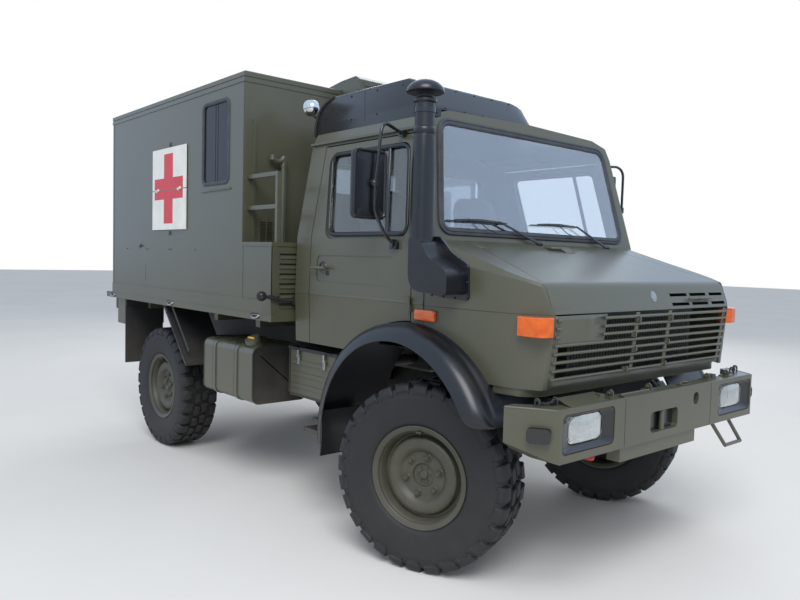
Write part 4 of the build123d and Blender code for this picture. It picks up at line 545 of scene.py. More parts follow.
# Section round the arch: radius less that of the liner, distance from the vehicle's middle
flareSection = [
    (0, 600), (0, 1012), (-1, 1020), (-3, 1028), (-7, 1034), (-8, 1044), (-6, 1060), (-4, 1076), (-5, 1092),
    (-12, 1112), (-26, 1132), (-46, 1146), (-70, 1154), (-97, 1160), (-100, 1157), (-97, 1152), (-72, 1146),
    (-52, 1138), (-36, 1126), (-22, 1108), (-17, 1090), (-15, 1060), (-13, 1012), (-13, 600)]


def flareShape():
    # ring t turns by angle about the arch centre; its outer part shrinks into a rounded front corner
    section = np.asarray(flareSection, float)
    t = radians(flare["start"]) + (pi - radians(flare["start"])) * np.linspace(0, 1, flare["steps"]) ** 1.15
    grow = np.clip((t - t[0]) / radians(9), 0, 1)
    share = 0.35 + 0.65 * np.sqrt(1 - (1 - grow) ** 2)
    outer = np.clip((section[:, 1] - 1010) / 60, 0, 1)
    spread = 1 - outer * (1 - share[:, None])
    y = 1010 + (section[:, 1] - 1010) * np.where(section[:, 1] > 1010, spread, 1)
    r = flare["radius"] + section[:, 0] * spread
    rings = np.stack([flare["centreX"] + r * np.cos(t)[:, None], -y,
                      flare["centreZ"] + r * np.sin(t)[:, None]], -1)
    foot = rings[-1] - [0, 0, 60]
    return blendedSurface(np.concatenate([rings, foot[None]]))


def flapShape():
    # a rubber sheet below the flare's rear end, slightly bowed along the vehicle
    z = np.linspace(760, flare["flapLow"], 16)
    bow = 10 * np.sin(np.linspace(0, pi, 16))
    x, near, far = flare["flapX"], -flare["flapNear"], -flare["flapFar"]
    rings = [np.array([(x + b, near, h), (x + b, far, h), (x + b + 11, far, h), (x + b + 11, near, h)])
             for h, b in zip(z, bow)]
    return joined(blendedSurface(rings), slab((x - 92, far + 6, 690), (x + 8, near, 702), "y", 3))


addPiece("wheelArchFlares", bothSides(joined(flareShape(), flapShape())), blackMoulding,
         sharp=50, stands=["front_flares"])
print("wheel arches done")

# Air intake: box section duct on the wing, round tube up the pillar, clamp and mushroom cap

intake = {"x": frontAxleX + 108, "y": -1078}


def roundedRing(x, y, z, halfX, halfY, power=3.2, count=40):
    # superellipse: |u/a|^p + |v/b|^p = 1 at one height
    t = np.linspace(0, tau, count, endpoint=False)
    u, v = np.cos(t), np.sin(t)
    k = (np.abs(u) ** power + np.abs(v) ** power) ** (-1 / power)
    return np.stack([x + halfX * u * k, y + halfY * v * k, np.full(count, float(z))], -1)


def intakeShape():
    x, y = intake["x"], intake["y"]
    # duct: rings tilt from level at the tube to upright at the wing
    rings = [roundedRing(x, y, z, a, b, p) for z, a, b, p in [
        (2362, 50, 50, 2), (2352, 51, 51, 2), (2300, 52, 54, 2.4), (2150, 53, 56, 3), (1800, 53, 56, 3.2)]]
    low = [(0, 1762, 54, 0), (12, 1716, 62, 0.12), (36, 1676, 76, 0.3), (68, 1634, 90, 0.55),
           (104, 1598, 100, 0.8)]
    for dx, z, half, lean in low:
        ring = roundedRing(0, y + 2, 0, half, 57, 4)
        u = ring[:, 0]
        rings.append(np.stack([x + dx + u * cos(lean), ring[:, 1], z + u * sin(lean) * 0.9], -1))
    last = roundedRing(0, y + 2, 0, 112, 57, 5)
    rings.append(np.stack([x + 136 + last[:, 0] * 0.94, last[:, 1], 1582 + last[:, 0] * -0.1], -1))
    body = blendedSurface(rings)
    side = roundedPath([
        (x - 40, 1770), (x - 40, 1590), (x - 6, 1532), (x + 70, 1520), (x + 250, 1512), (x + 250, 1632),
        (x + 182, 1664), (x + 104, 1706), (x + 56, 1786), (x - 38, 1800)], 30, 5)
    box = prism(side, y - 56, -985, "y")
    plate = prism(roundedPath([
        (x - 50, 1790), (x - 50, 1580), (x - 14, 1512), (x + 70, 1494), (x + 278, 1486), (x + 272, 1668),
        (x + 150, 1728), (x + 60, 1812), (x - 48, 1812)], 24, 4), -1002, -984, "y")
    bolts = hexHeads([(x + dx, -1003, z) for dx, z in [
        (10, 1502), (96, 1498), (180, 1496), (264, 1500), (266, 1580), (260, 1658), (196, 1700), (120, 1738),
        (76, 1792)]], (0, -1, 0), 7, 5)
    neck = lathe([
        (0, 2340), (56, 2340), (59, 2346), (59, 2366), (56, 2372), (52, 2374), (52, 2494), (56, 2498),
        (61, 2502), (61, 2516), (56, 2520), (45, 2526), (44, 2548), (60, 2552), (94, 2549), (99, 2552),
        (100, 2558), (94, 2576), (78, 2594), (54, 2608), (26, 2616), (0, 2618)], (x, y, 0), segments=56)
    clamp = joined(lathe([(52, 2446), (56, 2446), (56, 2474), (52, 2474)], (x, y, 0), segments=40),
                   slab((x - 24, y + 46, 2440), (x - 8, y + 104, 2484), "x", 8),
                   slab((x - 2, y + 46, 2440), (x + 14, y + 104, 2484), "x", 8),
                   barrel((x - 30, y + 74, 2461), (x + 20, y + 74, 2461), 6, segments=10),
                   tube([(x - 2, y + 86, 2461), (x - 100, y + 148, 2461), (x - 213, y + 218, 2460)],
                        9, 20, 10))
    return joined(box, neck, body), joined(plate, bolts, clamp)


intakeBody, intakeFittings = intakeShape()
addPiece("airIntake", intakeBody, blackMoulding, bevel=13, segments=3, sharp=44,
         stands=["snorkel"])
addPiece("airIntakeFittings", intakeFittings, blackCoat, bevel=1.2)
print("air intake done")

# Windscreen: rubber surround and wipers

screen = {"footX": frontAxleX + 53, "footZ": 1826, "rake": 11.95, "lowHalf": 905, "highHalf": 811,
          "height": 686, "corner": 78}


def onScreen(points):
    # across, up, out on the leaning windscreen to x, y, z
    p = np.atleast_2d(np.asarray(points, float))
    s, c = sin(radians(screen["rake"])), cos(radians(screen["rake"]))
    return np.stack([screen["footX"] - s * p[:, 1] + c * p[:, 2], p[:, 0],
                     screen["footZ"] + c * p[:, 1] + s * p[:, 2]], -1)


def screenLoop(inset, out):
    # trapezium drawn in by the inset, its corners cut, laid on the windscreen
    low, high, top = screen["lowHalf"] - inset, screen["highHalf"] - inset, screen["height"] - inset
    flat = roundedLoop([(-low, inset, out), (low, inset, out), (high, top, out), (-high, top, out)],
                       screen["corner"] * 1.35 - inset)
    return onScreen(flat)


outward = np.array([cos(radians(screen["rake"])), 0, sin(radians(screen["rake"]))])
sealProfile = [
    (-21, -8), (21, -8), (22, 4), (18, 11), (8, 13), (5, 9), (2, 9), (-1, 13), (-12, 13), (-20, 8), (-23, 2)]
addPiece("windscreenSeal", swept(screenLoop(22, 0), sealProfile, closed=True, up=outward), gasketRubber,
         sharp=38, stands=["windscreen_gasket"])

wipers = [{"pivot": (-59, -32), "ends": (-847, -345), "joint": -420, "blade": 88},
          {"pivot": (666, -36), "ends": (-118, 372), "joint": 330, "blade": 98}]


def wiperShape(spec):
    # rubber and bridge along the blade, arm narrowing from its pivot, stay and hub
    (px, pv), (a, b), joint, v = spec["pivot"], spec["ends"], spec["joint"], spec["blade"]
    rubber = swept(onScreen([(a, v - 8, 13), ((a + b) / 2, v - 2, 12), (b, v, 13)]),
                   [(-2, -7), (2, -7), (4, 6), (-4, 6)], up=outward)
    bridge = swept(onScreen([
        (a + 60, v - 5, 22), (a + 150, v, 30), ((a + b) / 2 + 30, v + 3, 33), (b - 120, v, 30),
        (b - 40, v, 22)]), [(-6, -2), (6, -2), (6, 2), (-6, 2)], up=outward)
    arm = swept(onScreen([(px, pv, 30), (px - (px - joint) * 0.25, pv + 26, 33), (joint, v, 34)]),
                [(-9, -3), (9, -3), (7, 4), (-7, 4)], up=outward, scale=[1.35, 1.0, 0.7])
    stay = tube(onScreen([
        (joint - 175, v - 6, 30), (joint - 110, v - 50, 32), (joint - 40, v - 66, 30)]), 3, 20, 8)
    hub = joined(barrel(onScreen((px, pv, -4))[0], onScreen((px, pv, 36))[0], 13, 3),
                 barrel(onScreen((px, pv, 36))[0], onScreen((px, pv, 42))[0], 8, 2))
    return joined(rubber, bridge, arm, stay, hub)


addPiece("wipers", joined(*[wiperShape(w) for w in wipers]), blackCoat, bevel=0.8)

# Mirrors on their tube arms

mirror = {"x": frontAxleX - 205, "near": 1050, "far": 1285, "low": 1903, "high": 2284, "corner": 34}


def mirrorShape():
    # housing: rounded rectangles one behind another, rim proud of a dished back that faces forward
    def ring(dx, inset):
        flat = roundedRect(-mirror["far"] + inset, mirror["low"] + inset, -mirror["near"] - inset,
                           mirror["high"] - inset, max(mirror["corner"] - inset * 0.6, 8), 7)
        return np.c_[np.full(len(flat), mirror["x"] + dx), flat]
    shell = blendedSurface([ring(-44, 8), ring(-45, 3), ring(-40, 0), ring(-18, 0), ring(-12, 2), ring(-9, 7),
                            ring(-10, 12), ring(-15, 15), ring(-18, 20), ring(-15, 60)])
    glass = blendedSurface([ring(-43.5, 9), ring(-46, 10), ring(-46.3, 30)])
    x = mirror["x"]

    def armTube(corners, bend):
        # both arms share their ends; a corner is given by x from the mirror, distance out and height
        between = [(x + dx, -y, z) for dx, y, z in corners]
        return tube([(x - 55, -905, 2402), *between, (x + 14, -1008, 1764)], 9.5, bend)
    arm = armTube([(4, 1085, 2434), (10, 1118, 2405), (4, 1150, 2112), (2, 1152, 1950), (6, 1070, 1815)], 34)
    wideArm = armTube([(4, 1200, 2424), (10, 1262, 2384), (4, 1270, 2112), (2, 1258, 1940), (6, 1110, 1815)],
                      40)
    ball = lathe([(0, -24), (12, -23), (19, -16), (23, -6), (23, 6), (19, 16), (12, 23), (0, 24)],
                 (x - 4, -1152, 2100), (1, 0, 0), 28)
    clamps = joined(slab((x - 78, -925, 2386), (x - 36, -893, 2418), "y", 7),
                    barrel((x - 57, -930, 2402), (x - 57, -888, 2402), 8),
                    slab((x - 14, -1022, 1742), (x + 46, -995, 1786), "y", 8),
                    slab((x + 2, -1034, 1748), (x + 26, -1000, 1798), "y", 6),
                    hexHeads([(x - 2, -1023, 1752), (x + 36, -1023, 1752), (x + 17, -1035, 1790)],
                             (0, -1, 0), 7, 6))
    collar = [(9.6, 2080), (17, 2080), (17, 2122), (9.6, 2122)]
    sleeve = lathe(collar, (x + 4, -1151, 0), segments=20)
    wideGrip = joined(lathe(collar, (x + 4, -1269, 0), segments=20),
                      barrel((x + 4, -1269, 2100), (x - 6, -1196, 2100), 8, 2, 14))
    return shell, glass, joined(arm, ball, sleeve, clamps), joined(wideArm, wideGrip, clamps)


def turnedMirror(shape, angle=-0.62, outward=17, raised=58):
    # the left head turned about the upright through its middle
    # x' = x cos a - y sin a, y' = x sin a + y cos a
    pivot = np.array([mirror["x"] - 18, -(mirror["near"] + mirror["far"]) / 2, 0])
    c, s = cos(angle), sin(angle)
    turn = np.array([[c, s, 0], [-s, c, 0], [0, 0, 1]])
    return (shape[0] - pivot) @ turn + pivot + [0, -outward, raised], shape[1]


shell, silver, arms, wideArms = mirrorShape()
heads = {"right": (shell, silver, arms),
         "left": (otherSide(turnedMirror(shell)), otherSide(turnedMirror(silver)), otherSide(wideArms))}
for side, (housing, face, arm) in heads.items():
    addPiece(f"mirrorHousing.{side}", housing, blackMoulding, f"door_{side}", sharp=34,
             stands=[f"mirror_{side}"])
    addPiece(f"mirrorGlass.{side}", face, mirrorSilver, f"door_{side}", sharp=34)
    addPiece(f"mirrorArm.{side}", arm, blackCoat, f"door_{side}", bevel=0.8, sharp=40)
print("mirrors done")

# Headlamps: black bezel let into the bumper, plated bowl, fluted glass

headlamp = {"x": frontAxleX + 960, "near": 540, "far": 960, "low": 812, "high": 1000, "lensNear": 615,
            "lensFar": 884, "lensLow": 846, "lensHigh": 978}


def headlampShape():
    def ring(near, far, low, high, corner, x):
        flat = roundedRect(-far, low, -near, high, corner, 7)
        return np.c_[np.full(len(flat), float(x)), flat]
    h, x = headlamp, headlamp["x"]
    bezel = [ring(h["near"] + g, h["far"] - g, h["low"] + g, h["high"] - g, 30, x + dx) for g, dx in
             [(1, -60), (1, -7), (3, -4), (9, -4), (13, -9)]]
    bezel += [ring(h["lensNear"] - 4 + g, h["lensFar"] + 4 - g, h["lensLow"] - 4 + g, h["lensHigh"] + 4 - g,
                   34, x + dx) for g, dx in [(-8, -22), (0, -24), (4, -30), (6, -44)]]
    bowl = [ring(h["lensNear"] + g, h["lensFar"] - g, h["lensLow"] + g * 0.6, h["lensHigh"] - g * 0.6,
                 max(34 - g * 0.4, 12), x + dx) for g, dx in [(4, -30), (22, -44), (52, -54), (84, -58)]]
    # glass: rings of one superellipse |u|^3.4 + |v|^3.4 = r^3.4 with a dome 11 (1 - r^2)
    # and upright flutes 0.7 |sin| inside r < 0.9
    r, a = np.meshgrid(np.linspace(0.04, 1, 16), np.linspace(0, tau, 72, endpoint=False), indexing="ij")
    k = (np.abs(np.cos(a)) ** 3.4 + np.abs(np.sin(a)) ** 3.4) ** (-1 / 3.4)
    halfY, halfZ = (h["lensFar"] - h["lensNear"]) / 2, (h["lensHigh"] - h["lensLow"]) / 2
    dome = 11 * (1 - r ** 2) + 0.7 * np.abs(np.sin(r * k * np.cos(a) * 16)) * (r < 0.9)
    front = np.stack([x - 24 + dome, -(h["lensFar"] + h["lensNear"]) / 2 + halfY * r * k * np.cos(a),
                      (h["lensHigh"] + h["lensLow"]) / 2 + halfZ * r * k * np.sin(a)], -1)
    glass = blendedSurface(np.concatenate([front, front[::-1] - [4, 0, 0]]))
    bulb = lathe([(0, 0), (9, 0), (9, 12), (6, 18), (0, 19)], (x - 56, -770, 912), (1, 0, 0), 16)
    return blendedSurface(bezel), joined(blendedSurface(bowl), bulb), glass


bezel, bowl, lens = headlampShape()
addPiece("headlampBezels", bothSides(bezel), blackCoat, sharp=30, stands=["headlamps"])
addPiece("headlampBowls", bothSides(bowl), platedBowl, sharp=30)
addPiece("headlampGlasses", bothSides(lens), clearLens, sharp=60)

# Signal lamps: amber at the nose corners and cab sides, amber and red clusters at the rear


def lensBlock(low, high, out, axis="y", corner=8):
    # a moulded lens whose edge is drawn in over three steps
    keep = [i for i in range(3) if "xyz"[i] != axis]
    k = "xyz".index(axis)
    size = [abs(high[i] - low[i]) for i in keep]
    centre = [(high[i] + low[i]) / 2 for i in keep]
    rings = []
    for inset, depth in [(0, 0), (0, out * 0.75), (2.5, out * 0.93), (6, out)]:
        flat = roundedRect(centre[0] - size[0] / 2 + inset, centre[1] - size[1] / 2 + inset,
                           centre[0] + size[0] / 2 - inset, centre[1] + size[1] / 2 - inset, corner, 4)
        ring = np.empty((len(flat), 3))
        ring[:, keep[0]], ring[:, keep[1]], ring[:, k] = flat[:, 0], flat[:, 1], low[k] + depth
        rings.append(ring)
    return blendedSurface(rings)


cornerPlan = [(697, 952), (699, 994), (806, 990), (832, 978), (846, 954), (848, 905), (824, 877), (790, 895),
              (748, 927)]
cornerLens = blendedSurface([np.array([(frontAxleX + x, -y, z) for x, y in cornerPlan])
                             for z in (1340, 1346, 1380, 1428, 1434)])
sideLens = lensBlock((frontAxleX + 2, -1000, 1360), (frontAxleX + 156, -1000, 1420), -24)
addPiece("amberLamps", bothSides(joined(cornerLens, sideLens)), amberLens, bevel=5,
         segments=3, sharp=40, stands=["signal_lamps"])

rearX = frontAxleX - 4340
rearLamp = {"x": rearX + 21, "low": 1136, "high": 1243, "depth": 20, "far": 1080, "near": 820}


def rearLens(far, near):
    # one lens of the cluster between two distances from the middle
    x = rearLamp["x"]
    return lensBlock((x, -far, rearLamp["low"]), (x, -near, rearLamp["high"]), -rearLamp["depth"], "x")


rearCluster = joined(rearLens(rearLamp["far"] - 4, 1000), rearLens(900, rearLamp["near"] + 4))
rearStop = rearLens(996, 904)
rearBase = slab((rearLamp["x"], -rearLamp["far"], rearLamp["low"] - 6),
                (rearLamp["x"] + 39, -rearLamp["near"], rearLamp["high"] + 6), "x", 10)
addPiece("rearAmberLenses", bothSides(rearCluster), amberLens, sharp=34)
addPiece("rearRedLenses", bothSides(rearStop), redLens, sharp=34)
addPiece("rearLampBases", bothSides(rearBase), blackMoulding, bevel=2)
print("lamps done")

# Box body: window rubbers, drip lines, studs, catches, cover strips, vent and the red crosses on both sides

box = {"rearX": frontAxleX - 4175, "frontX": frontAxleX - 1643, "half": 1165, "deckTop": 1302,
       "deckFrontX": frontAxleX - 1245, "handleX": frontAxleX - 3494, "handleZ": 1746}
boxWindow = {"rear": box["frontX"] - 625, "front": box["frontX"] - 218, "low": 2205, "high": 2801,
             "corner": 45}
board = {"rear": frontAxleX - 3190, "front": frontAxleX - 2542, "low": 1879, "high": 2545, "fold": 2204,
         "face": 1180}
cross = {"middleX": frontAxleX - 2866, "stemHalf": 87, "armHalf": 277, "low": 1929, "high": 2497,
         "armLow": 2128, "armHigh": 2301, "paint": 0.8}
rubberBead = [(-14, -4), (14, -4), (14, 3), (10, 7), (4, 9), (-4, 9), (-10, 7), (-14, 3)]


def sideLoop(x0, x1, z0, z1, corner, y):
    # rounded rectangle in x and z, upright at one y
    flat = roundedRect(x0, z0, x1, z1, corner, 8)
    return np.stack([flat[:, 0], np.full(len(flat), float(y)), flat[:, 1]], -1)


def windowRubber():
    # bead swept round the window, two bars across its middle
    w, y = boxWindow, -box["half"]
    frameRing = swept(sideLoop(w["rear"] + 2, w["front"] - 2, w["low"] + 2, w["high"] - 2, w["corner"], y),
                      rubberBead, closed=True, up=(0, -1, 0))
    middle = (w["rear"] + w["front"]) / 2
    divider = [slab((middle + dx, y + 8, w["low"] + 6), (middle + dx + 9, y + 3, w["high"] - 6), "y", 2)
               for dx in (-22, 14)]
    return joined(frameRing, *divider)


def boxFittings():
    # on a side wall: drip line, cover strips, studs, the board's catches and a handle
    y = -box["half"]
    w = boxWindow
    drip = swept([(w["rear"] - 12, y, 2156), (w["front"] + 40, y, 2160)],
                 [(-1, -3), (9, -5), (11, -3), (4, 6), (-1, 8)], up=(0, 0, 1))
    strips = joined(slab((box["frontX"] - 8, y - 2, 1392), (box["frontX"] + 12, y + 2, 1772), "y", 1),
                    slab((frontAxleX - 3375, y - 1.6, 1444), (frontAxleX - 3369, y + 2, 1573), "y", 1),
                    slab((box["rearX"] + 3, y - 2, 1392), (box["rearX"] + 30, y + 2, 2880), "y", 1),
                    slab((box["frontX"] - 30, y - 2, 1776), (box["frontX"] - 3, y + 2, 2880), "y", 1),
                    slab((box["frontX"] - 2, y + 3, 1776), (box["frontX"] + 2, y + 32, 2880), "x", 1))
    studs = hexHeads([
        (frontAxleX + dx, y, 1718) for dx in (-3804, -3355, -3317, -2872, -2835, -2387)], (0, -1, 0), 6, 5)
    middle = (board["rear"] + board["front"]) / 2
    knob = [(0, 0), (11, 0), (11, 5), (8, 8), (0, 8)]
    catches = joined(*[joined(lathe(knob, (middle, y, z), (0, -1, 0), 16),
                              slab((middle - 7, y - 12, z - 20), (middle + 7, y - 7, z + 20), "y", 6))
                       for z in (2572, 1852)])
    x, z = box["handleX"], box["handleZ"]
    handle = joined(lathe([(0, 0), (24, 0), (24, 3), (17, 6), (0, 7)], (x, y, z), (0, -1, 0), 24),
                    slab((x - 36, y - 24, z - 7), (x + 36, y - 15, z + 7), "y", 6),
                    barrel((x, y - 4, z), (x, y - 18, z), 7, segments=14))
    return joined(drip, strips, studs, catches, handle)


def crossPaint(low, high):
    # the part of the cross between two heights, as a thin coat on the board's face
    c, y = cross, -board["face"]
    left, right = c["middleX"] - c["armHalf"], c["middleX"] + c["armHalf"]
    stemLow, stemHigh = c["middleX"] - c["stemHalf"], c["middleX"] + c["stemHalf"]
    if low < c["armLow"]:
        outline = [(stemLow, c["low"]), (stemHigh, c["low"]), (stemHigh, c["armLow"]), (right, c["armLow"]),
                   (right, high), (left, high), (left, c["armLow"]), (stemLow, c["armLow"])]
    else:
        outline = [(left, low), (right, low), (right, c["armHigh"]), (stemHigh, c["armHigh"]),
                   (stemHigh, c["high"]), (stemLow, c["high"]), (stemLow, c["armHigh"]), (left, c["armHigh"])]
    return prism(outline, y - c["paint"], y + 0.5, "y")


addPiece("boxWindowRubbers", bothSides(windowRubber()), gasketRubber, sharp=40)
addPiece("boxFittings", bothSides(boxFittings()), olivePaint, bevel=0.8)
addPiece("crossLower", bothSides(crossPaint(board["low"], board["fold"] - 4)), boardRed,
         bevel=0.3)
upperCross = crossPaint(board["fold"] + 4, board["high"])
for side, turn in onSide.items():
    addPiece(f"crossUpper.{side}", turn(upperCross), boardRed, f"cross_leaf_{side}", bevel=0.3)


def lockerShape():
    # slanted blades over the air slots, a folded lid edge and a corner flange
    x, y = box["deckFrontX"], box["half"]
    blades = [prism([(x - 26, low + 30), (x - 24, low + 33), (x + 8, low - 3), (x + 6, low - 6)],
                    -(y - 62), -762) for low in box["deckTop"] + 42 + 66 * np.arange(6)]
    lidEdge = joined(slab((box["frontX"] + 3, -y - 6, 1752), (x + 6, -y, 1778), "y", 2),
                     slab((x, -y - 6, 1752), (x + 6, -700, 1778), "x", 2))
    flange = joined(slab((x, -y - 4, 1304), (x + 4, -y + 40, 1752), "x", 1),
                    slab((x - 30, -y - 4, 1392), (x + 4, -y, 1752), "y", 1))
    return joined(*blades, lidEdge, flange)


def wallFittings():
    # on the front wall: conduit, slatted vent, and bands round the breather pipe
    x = box["frontX"]
    conduit = joined(slab((x, -1096, 1776), (x + 12, -1072, 2636), "x", 3),
                     hexHeads([(x + 12, -1084, z) for z in (1840, 2080, 2330, 2600)], (1, 0, 0), 5, 4))
    frameBars = [slab((x, -1036, z), (x + 10, -926, z + 8), "x", 1) for z in np.arange(1790, 1942, 17)]
    posts = [slab((x, y - 4, 1784), (x + 13, y + 4, 1948), "x", 1) for y in (-1036, -981, -926)]
    bands = [joined(lathe([(19.2, -9), (22, -9), (22, 9), (19.2, 9)], (x + 45, -870, z), segments=28),
                    slab((x, -874, z - 9), (x + 30, -866, z + 9), "x", 1),
                    hexHeads([(x + 30, -895, z)], (0, -1, 0), 6, 5)) for z in (1908, 2108, 2328)]
    collar = lathe([(18, -6), (23, -6), (24, 0), (23, 8), (18, 8)], (x + 45, -960, 2368), segments=28)
    return joined(conduit, *frameBars, *posts, *bands, collar)


def tieDownRings():
    # rod bent round six points, hung from a hinge bar
    rings = []
    for dx in (-1455, -2850, -4170):
        x = frontAxleX + dx
        rings += [tube([(x - 44, -1156, 1282), (x - 40, -1172, 1270), (x - 10, -1177, 1262),
                        (x + 20, -1177, 1262), (x + 42, -1172, 1270), (x + 44, -1156, 1282)], 6.5, 16, 12),
                  barrel((x - 56, -1156, 1283), (x + 56, -1156, 1283), 6, 1)]
    return joined(*rings)


addPiece("lockerSlats", bothSides(lockerShape()), olivePaint, bevel=0.8)
addPiece("wallFittings", wallFittings(), olivePaint, bevel=0.8)
addPiece("tieDownRings", bothSides(tieDownRings()), zincPlate, sharp=40)
print("box body done")

# Lamps on arms: rubber marker lamps beside the cab, chrome work lamp behind the fairing

marker = {"x": frontAxleX - 1222, "y": 1252, "z": 1424, "rootY": 1000, "rootZ": 1392}


def markerShape():
    # arm swept from the cab to the lamp, cuffs and body turned, two lenses back to back
    m = marker
    start, end = np.array([m["x"], -m["rootY"], m["rootZ"]]), np.array([m["x"], -m["y"] + 26, m["z"] - 3])
    arm = tube([start, (m["x"], -1080, m["rootZ"]), end], 11, 40, 16)
    cuffs = [lathe([(11, -5), (14.5, -5), (14.5, 5), (11, 5)], start + (end - start) * s, end - start, 20)
             for s in (0.55, 0.7, 0.85)]
    plate = joined(slab((m["x"] - 12, -1012, m["rootZ"] - 32), (m["x"] + 22, -988, m["rootZ"] + 32), "y", 4),
                   hexHeads([(m["x"] + 2, -1012, m["rootZ"] - 22), (m["x"] + 2, -1012, m["rootZ"] + 22)],
                            (0, -1, 0), 6, 5))
    body = lathe([(0, -18), (24, -18), (30, -15), (33, -6), (33, 6), (30, 15), (24, 18), (0, 18)],
                 (m["x"], -m["y"], m["z"]), (1, 0, 0), 32)
    lens = [(0, 29), (10, 28), (19, 24), (24, 18), (24, 15)]
    clear = lathe(lens, (m["x"], -m["y"], m["z"]), (1, 0, 0), 28)
    red = lathe(lens, (m["x"], -m["y"], m["z"]), (-1, 0, 0), 28)
    return joined(arm, *cuffs, plate, body), clear, red


markerBody, markerClear, markerRed = markerShape()
addPiece("markerLampArms", bothSides(markerBody), flapRubber, sharp=36, stands=["work_lamps"])
addPiece("markerLampWhite", bothSides(markerClear), clearLens, sharp=50)
addPiece("markerLampRed", bothSides(markerRed), redLens, sharp=50)

workLamp = {"x": frontAxleX - 1372, "y": -806, "z": 2716, "grow": 1.16}


def workLampShape():
    # turned shell and glass, grown about the lamp's centre: point = centre + grow (p - centre)
    x, y, z = spot = (workLamp["x"], workLamp["y"], workLamp["z"])
    shell = lathe([(0, 70), (14, 69), (30, 62), (41, 46), (46, 26), (47, 6), (48, 4), (48, -1), (44, -1),
                   (42, 4), (30, 18), (0, 24)], spot, (1, 0, 0), 40)
    glass = lathe([(43, 1), (30, -3), (0, -6), (0, -4), (30, -1), (42, 3)], spot, (1, 0, 0), 40)
    shell, glass = [((p - spot) * workLamp["grow"] + spot, f) for p, f in (shell, glass)]
    foot = joined(tube([(x + 36, y, z - 44), (x + 60, y, z - 70), (x + 132, y, z - 78)], 9, 18, 12),
                  slab((x + 22, y - 12, z - 56), (x + 50, y + 12, z - 44), "z", 4))
    return shell, glass, foot


lampShell, lampGlass, lampFoot = workLampShape()
addPiece("workLampShell", lampShell, chromePlate, sharp=36)
addPiece("workLampGlass", lampGlass, clearLens, sharp=50)
addPiece("workLampFoot", lampFoot, blackCoat, bevel=1)
print("lamps on arms done")

# Cab doors: window rubber, quarter light divider, handle, lock, hinges and the pressed waist line

door = {"hingeX": frontAxleX - 41, "hingeY": 1022, "hinges": (1440, 1790), "handleX": frontAxleX - 900,
        "handleZ": 1622, "lockX": frontAxleX - 842, "lockZ": 1586, "creaseZ": 1450}
# Cab side seen from the front: height, distance of the outer skin from the middle
cabSide = np.array([(1126, 997), (1450, 1010), (1815, 1000), (2425, 888)], float)


def skinY(z):
    # distance of the cab's side from the middle, straight between the given heights
    return np.interp(z, cabSide[:, 0], cabSide[:, 1])


def onDoor(points, out=0):
    # x, z on the cab side to x, y, z, pushed out of the skin
    p = np.atleast_2d(np.asarray(points, float))
    return np.stack([p[:, 0], -(skinY(p[:, 1]) + out), p[:, 1]], -1)


def doorShape():
    # rubber round the window, divider of its quarter light, seal at its foot
    x0 = frontAxleX
    corners = [(x0 - 855, 1830), (x0 - 105, 1830), (x0 - 210, 2345), (x0 - 955, 2345)]
    leaning = onDoor(roundedLoop(corners, 62), -5)
    normal = np.array([0, -1, 0.18])
    seal = swept(leaning, [
        (-13, -5), (12, -5), (12, 2), (9, 7), (3, 10), (-5, 10), (-11, 6), (-13, 1)], closed=True, up=normal)
    divider = swept(onDoor([(x0 - 384, 2350), (x0 - 340, 2100), (x0 - 290, 1832)], -10),
                    [(-11, -6), (11, -6), (11, 5), (7, 9), (-7, 9), (-11, 5)], up=normal)
    lowSeal = swept(onDoor([(x0 - 850, 1842), (x0 - 108, 1842)], -8), [(-4, -3), (4, -3), (2, 6), (-2, 6)],
                    up=normal)
    return joined(seal, divider, lowSeal)


def doorHardware():
    # dished handle, lock and hinge pins, all turned
    y = skinY(1620) + 0.5
    dish = lathe([(0, 1.5), (26, 1.5), (31, 0), (34, 2.5), (37, 2.5), (39, 0)],
                 (door["handleX"], -y + 6, door["handleZ"]), (0, -1, 0), 36)
    lock = lathe([(0, 0), (15, 0), (15, 4), (12, 7), (7, 8), (7, 5), (0, 5)],
                 (door["lockX"], -y + 5, door["lockZ"]), (0, -1, 0), 28)
    pins = []
    for z in door["hinges"]:
        hx, hy = door["hingeX"], -door["hingeY"]
        pins.append(joined(
            lathe([(0, -40), (6, -40), (9.4, -37), (9.4, 37), (6, 40), (0, 40)], (hx, hy, z), segments=20),
            *[lathe([(9.4, h - 1), (10.4, h - 1), (10.4, h + 1), (9.4, h + 1)], (hx, hy, z), segments=20)
              for h in (-14, 14)]))
    return joined(dish, lock), joined(*pins)


def pressedLine(start, end):
    # the rolled crease below the waist, drawn as a soft half round between two places along the cab
    half = [(-8, -1.5), (8, -1.5), (6.5, 0.6), (3, 1.8), (-3, 1.8), (-6.5, 0.6)]
    line = [(x, door["creaseZ"]) for x in np.linspace(start, end, 8)]
    return swept(onDoor(line), half, up=(0, -1, 0.02))


seals = doorShape()
handles, hingePins = doorHardware()
crease = pressedLine(frontAxleX - 1024, frontAxleX - 52)
for side, turn in onSide.items():
    addPiece(f"doorSeal.{side}", turn(seals), blackMoulding, f"door_{side}", sharp=44)
    addPiece(f"doorHandle.{side}", turn(handles), blackCoat, f"door_{side}", sharp=36)
    addPiece(f"doorCrease.{side}", turn(crease), olivePaint, f"door_{side}", sharp=60)
addPiece("cabCreases",
         bothSides(joined(pressedLine(frontAxleX - 1194, frontAxleX - 1038),
                          pressedLine(frontAxleX - 34, frontAxleX + 56))), olivePaint, sharp=60)
addPiece("doorHingePins", bothSides(hingePins), olivePaint, sharp=34)
print("cab doors done")

# Below the deck: tank straps and cap, battery box trim, step grating, mudguard struts and flap bolts

tank = {"rear": frontAxleX - 2240, "front": frontAxleX - 1510, "near": 700, "far": 1150, "low": 650,
        "high": 1050, "corner": 55, "straps": (-1740, -2070), "neckX": frontAxleX - 1600}


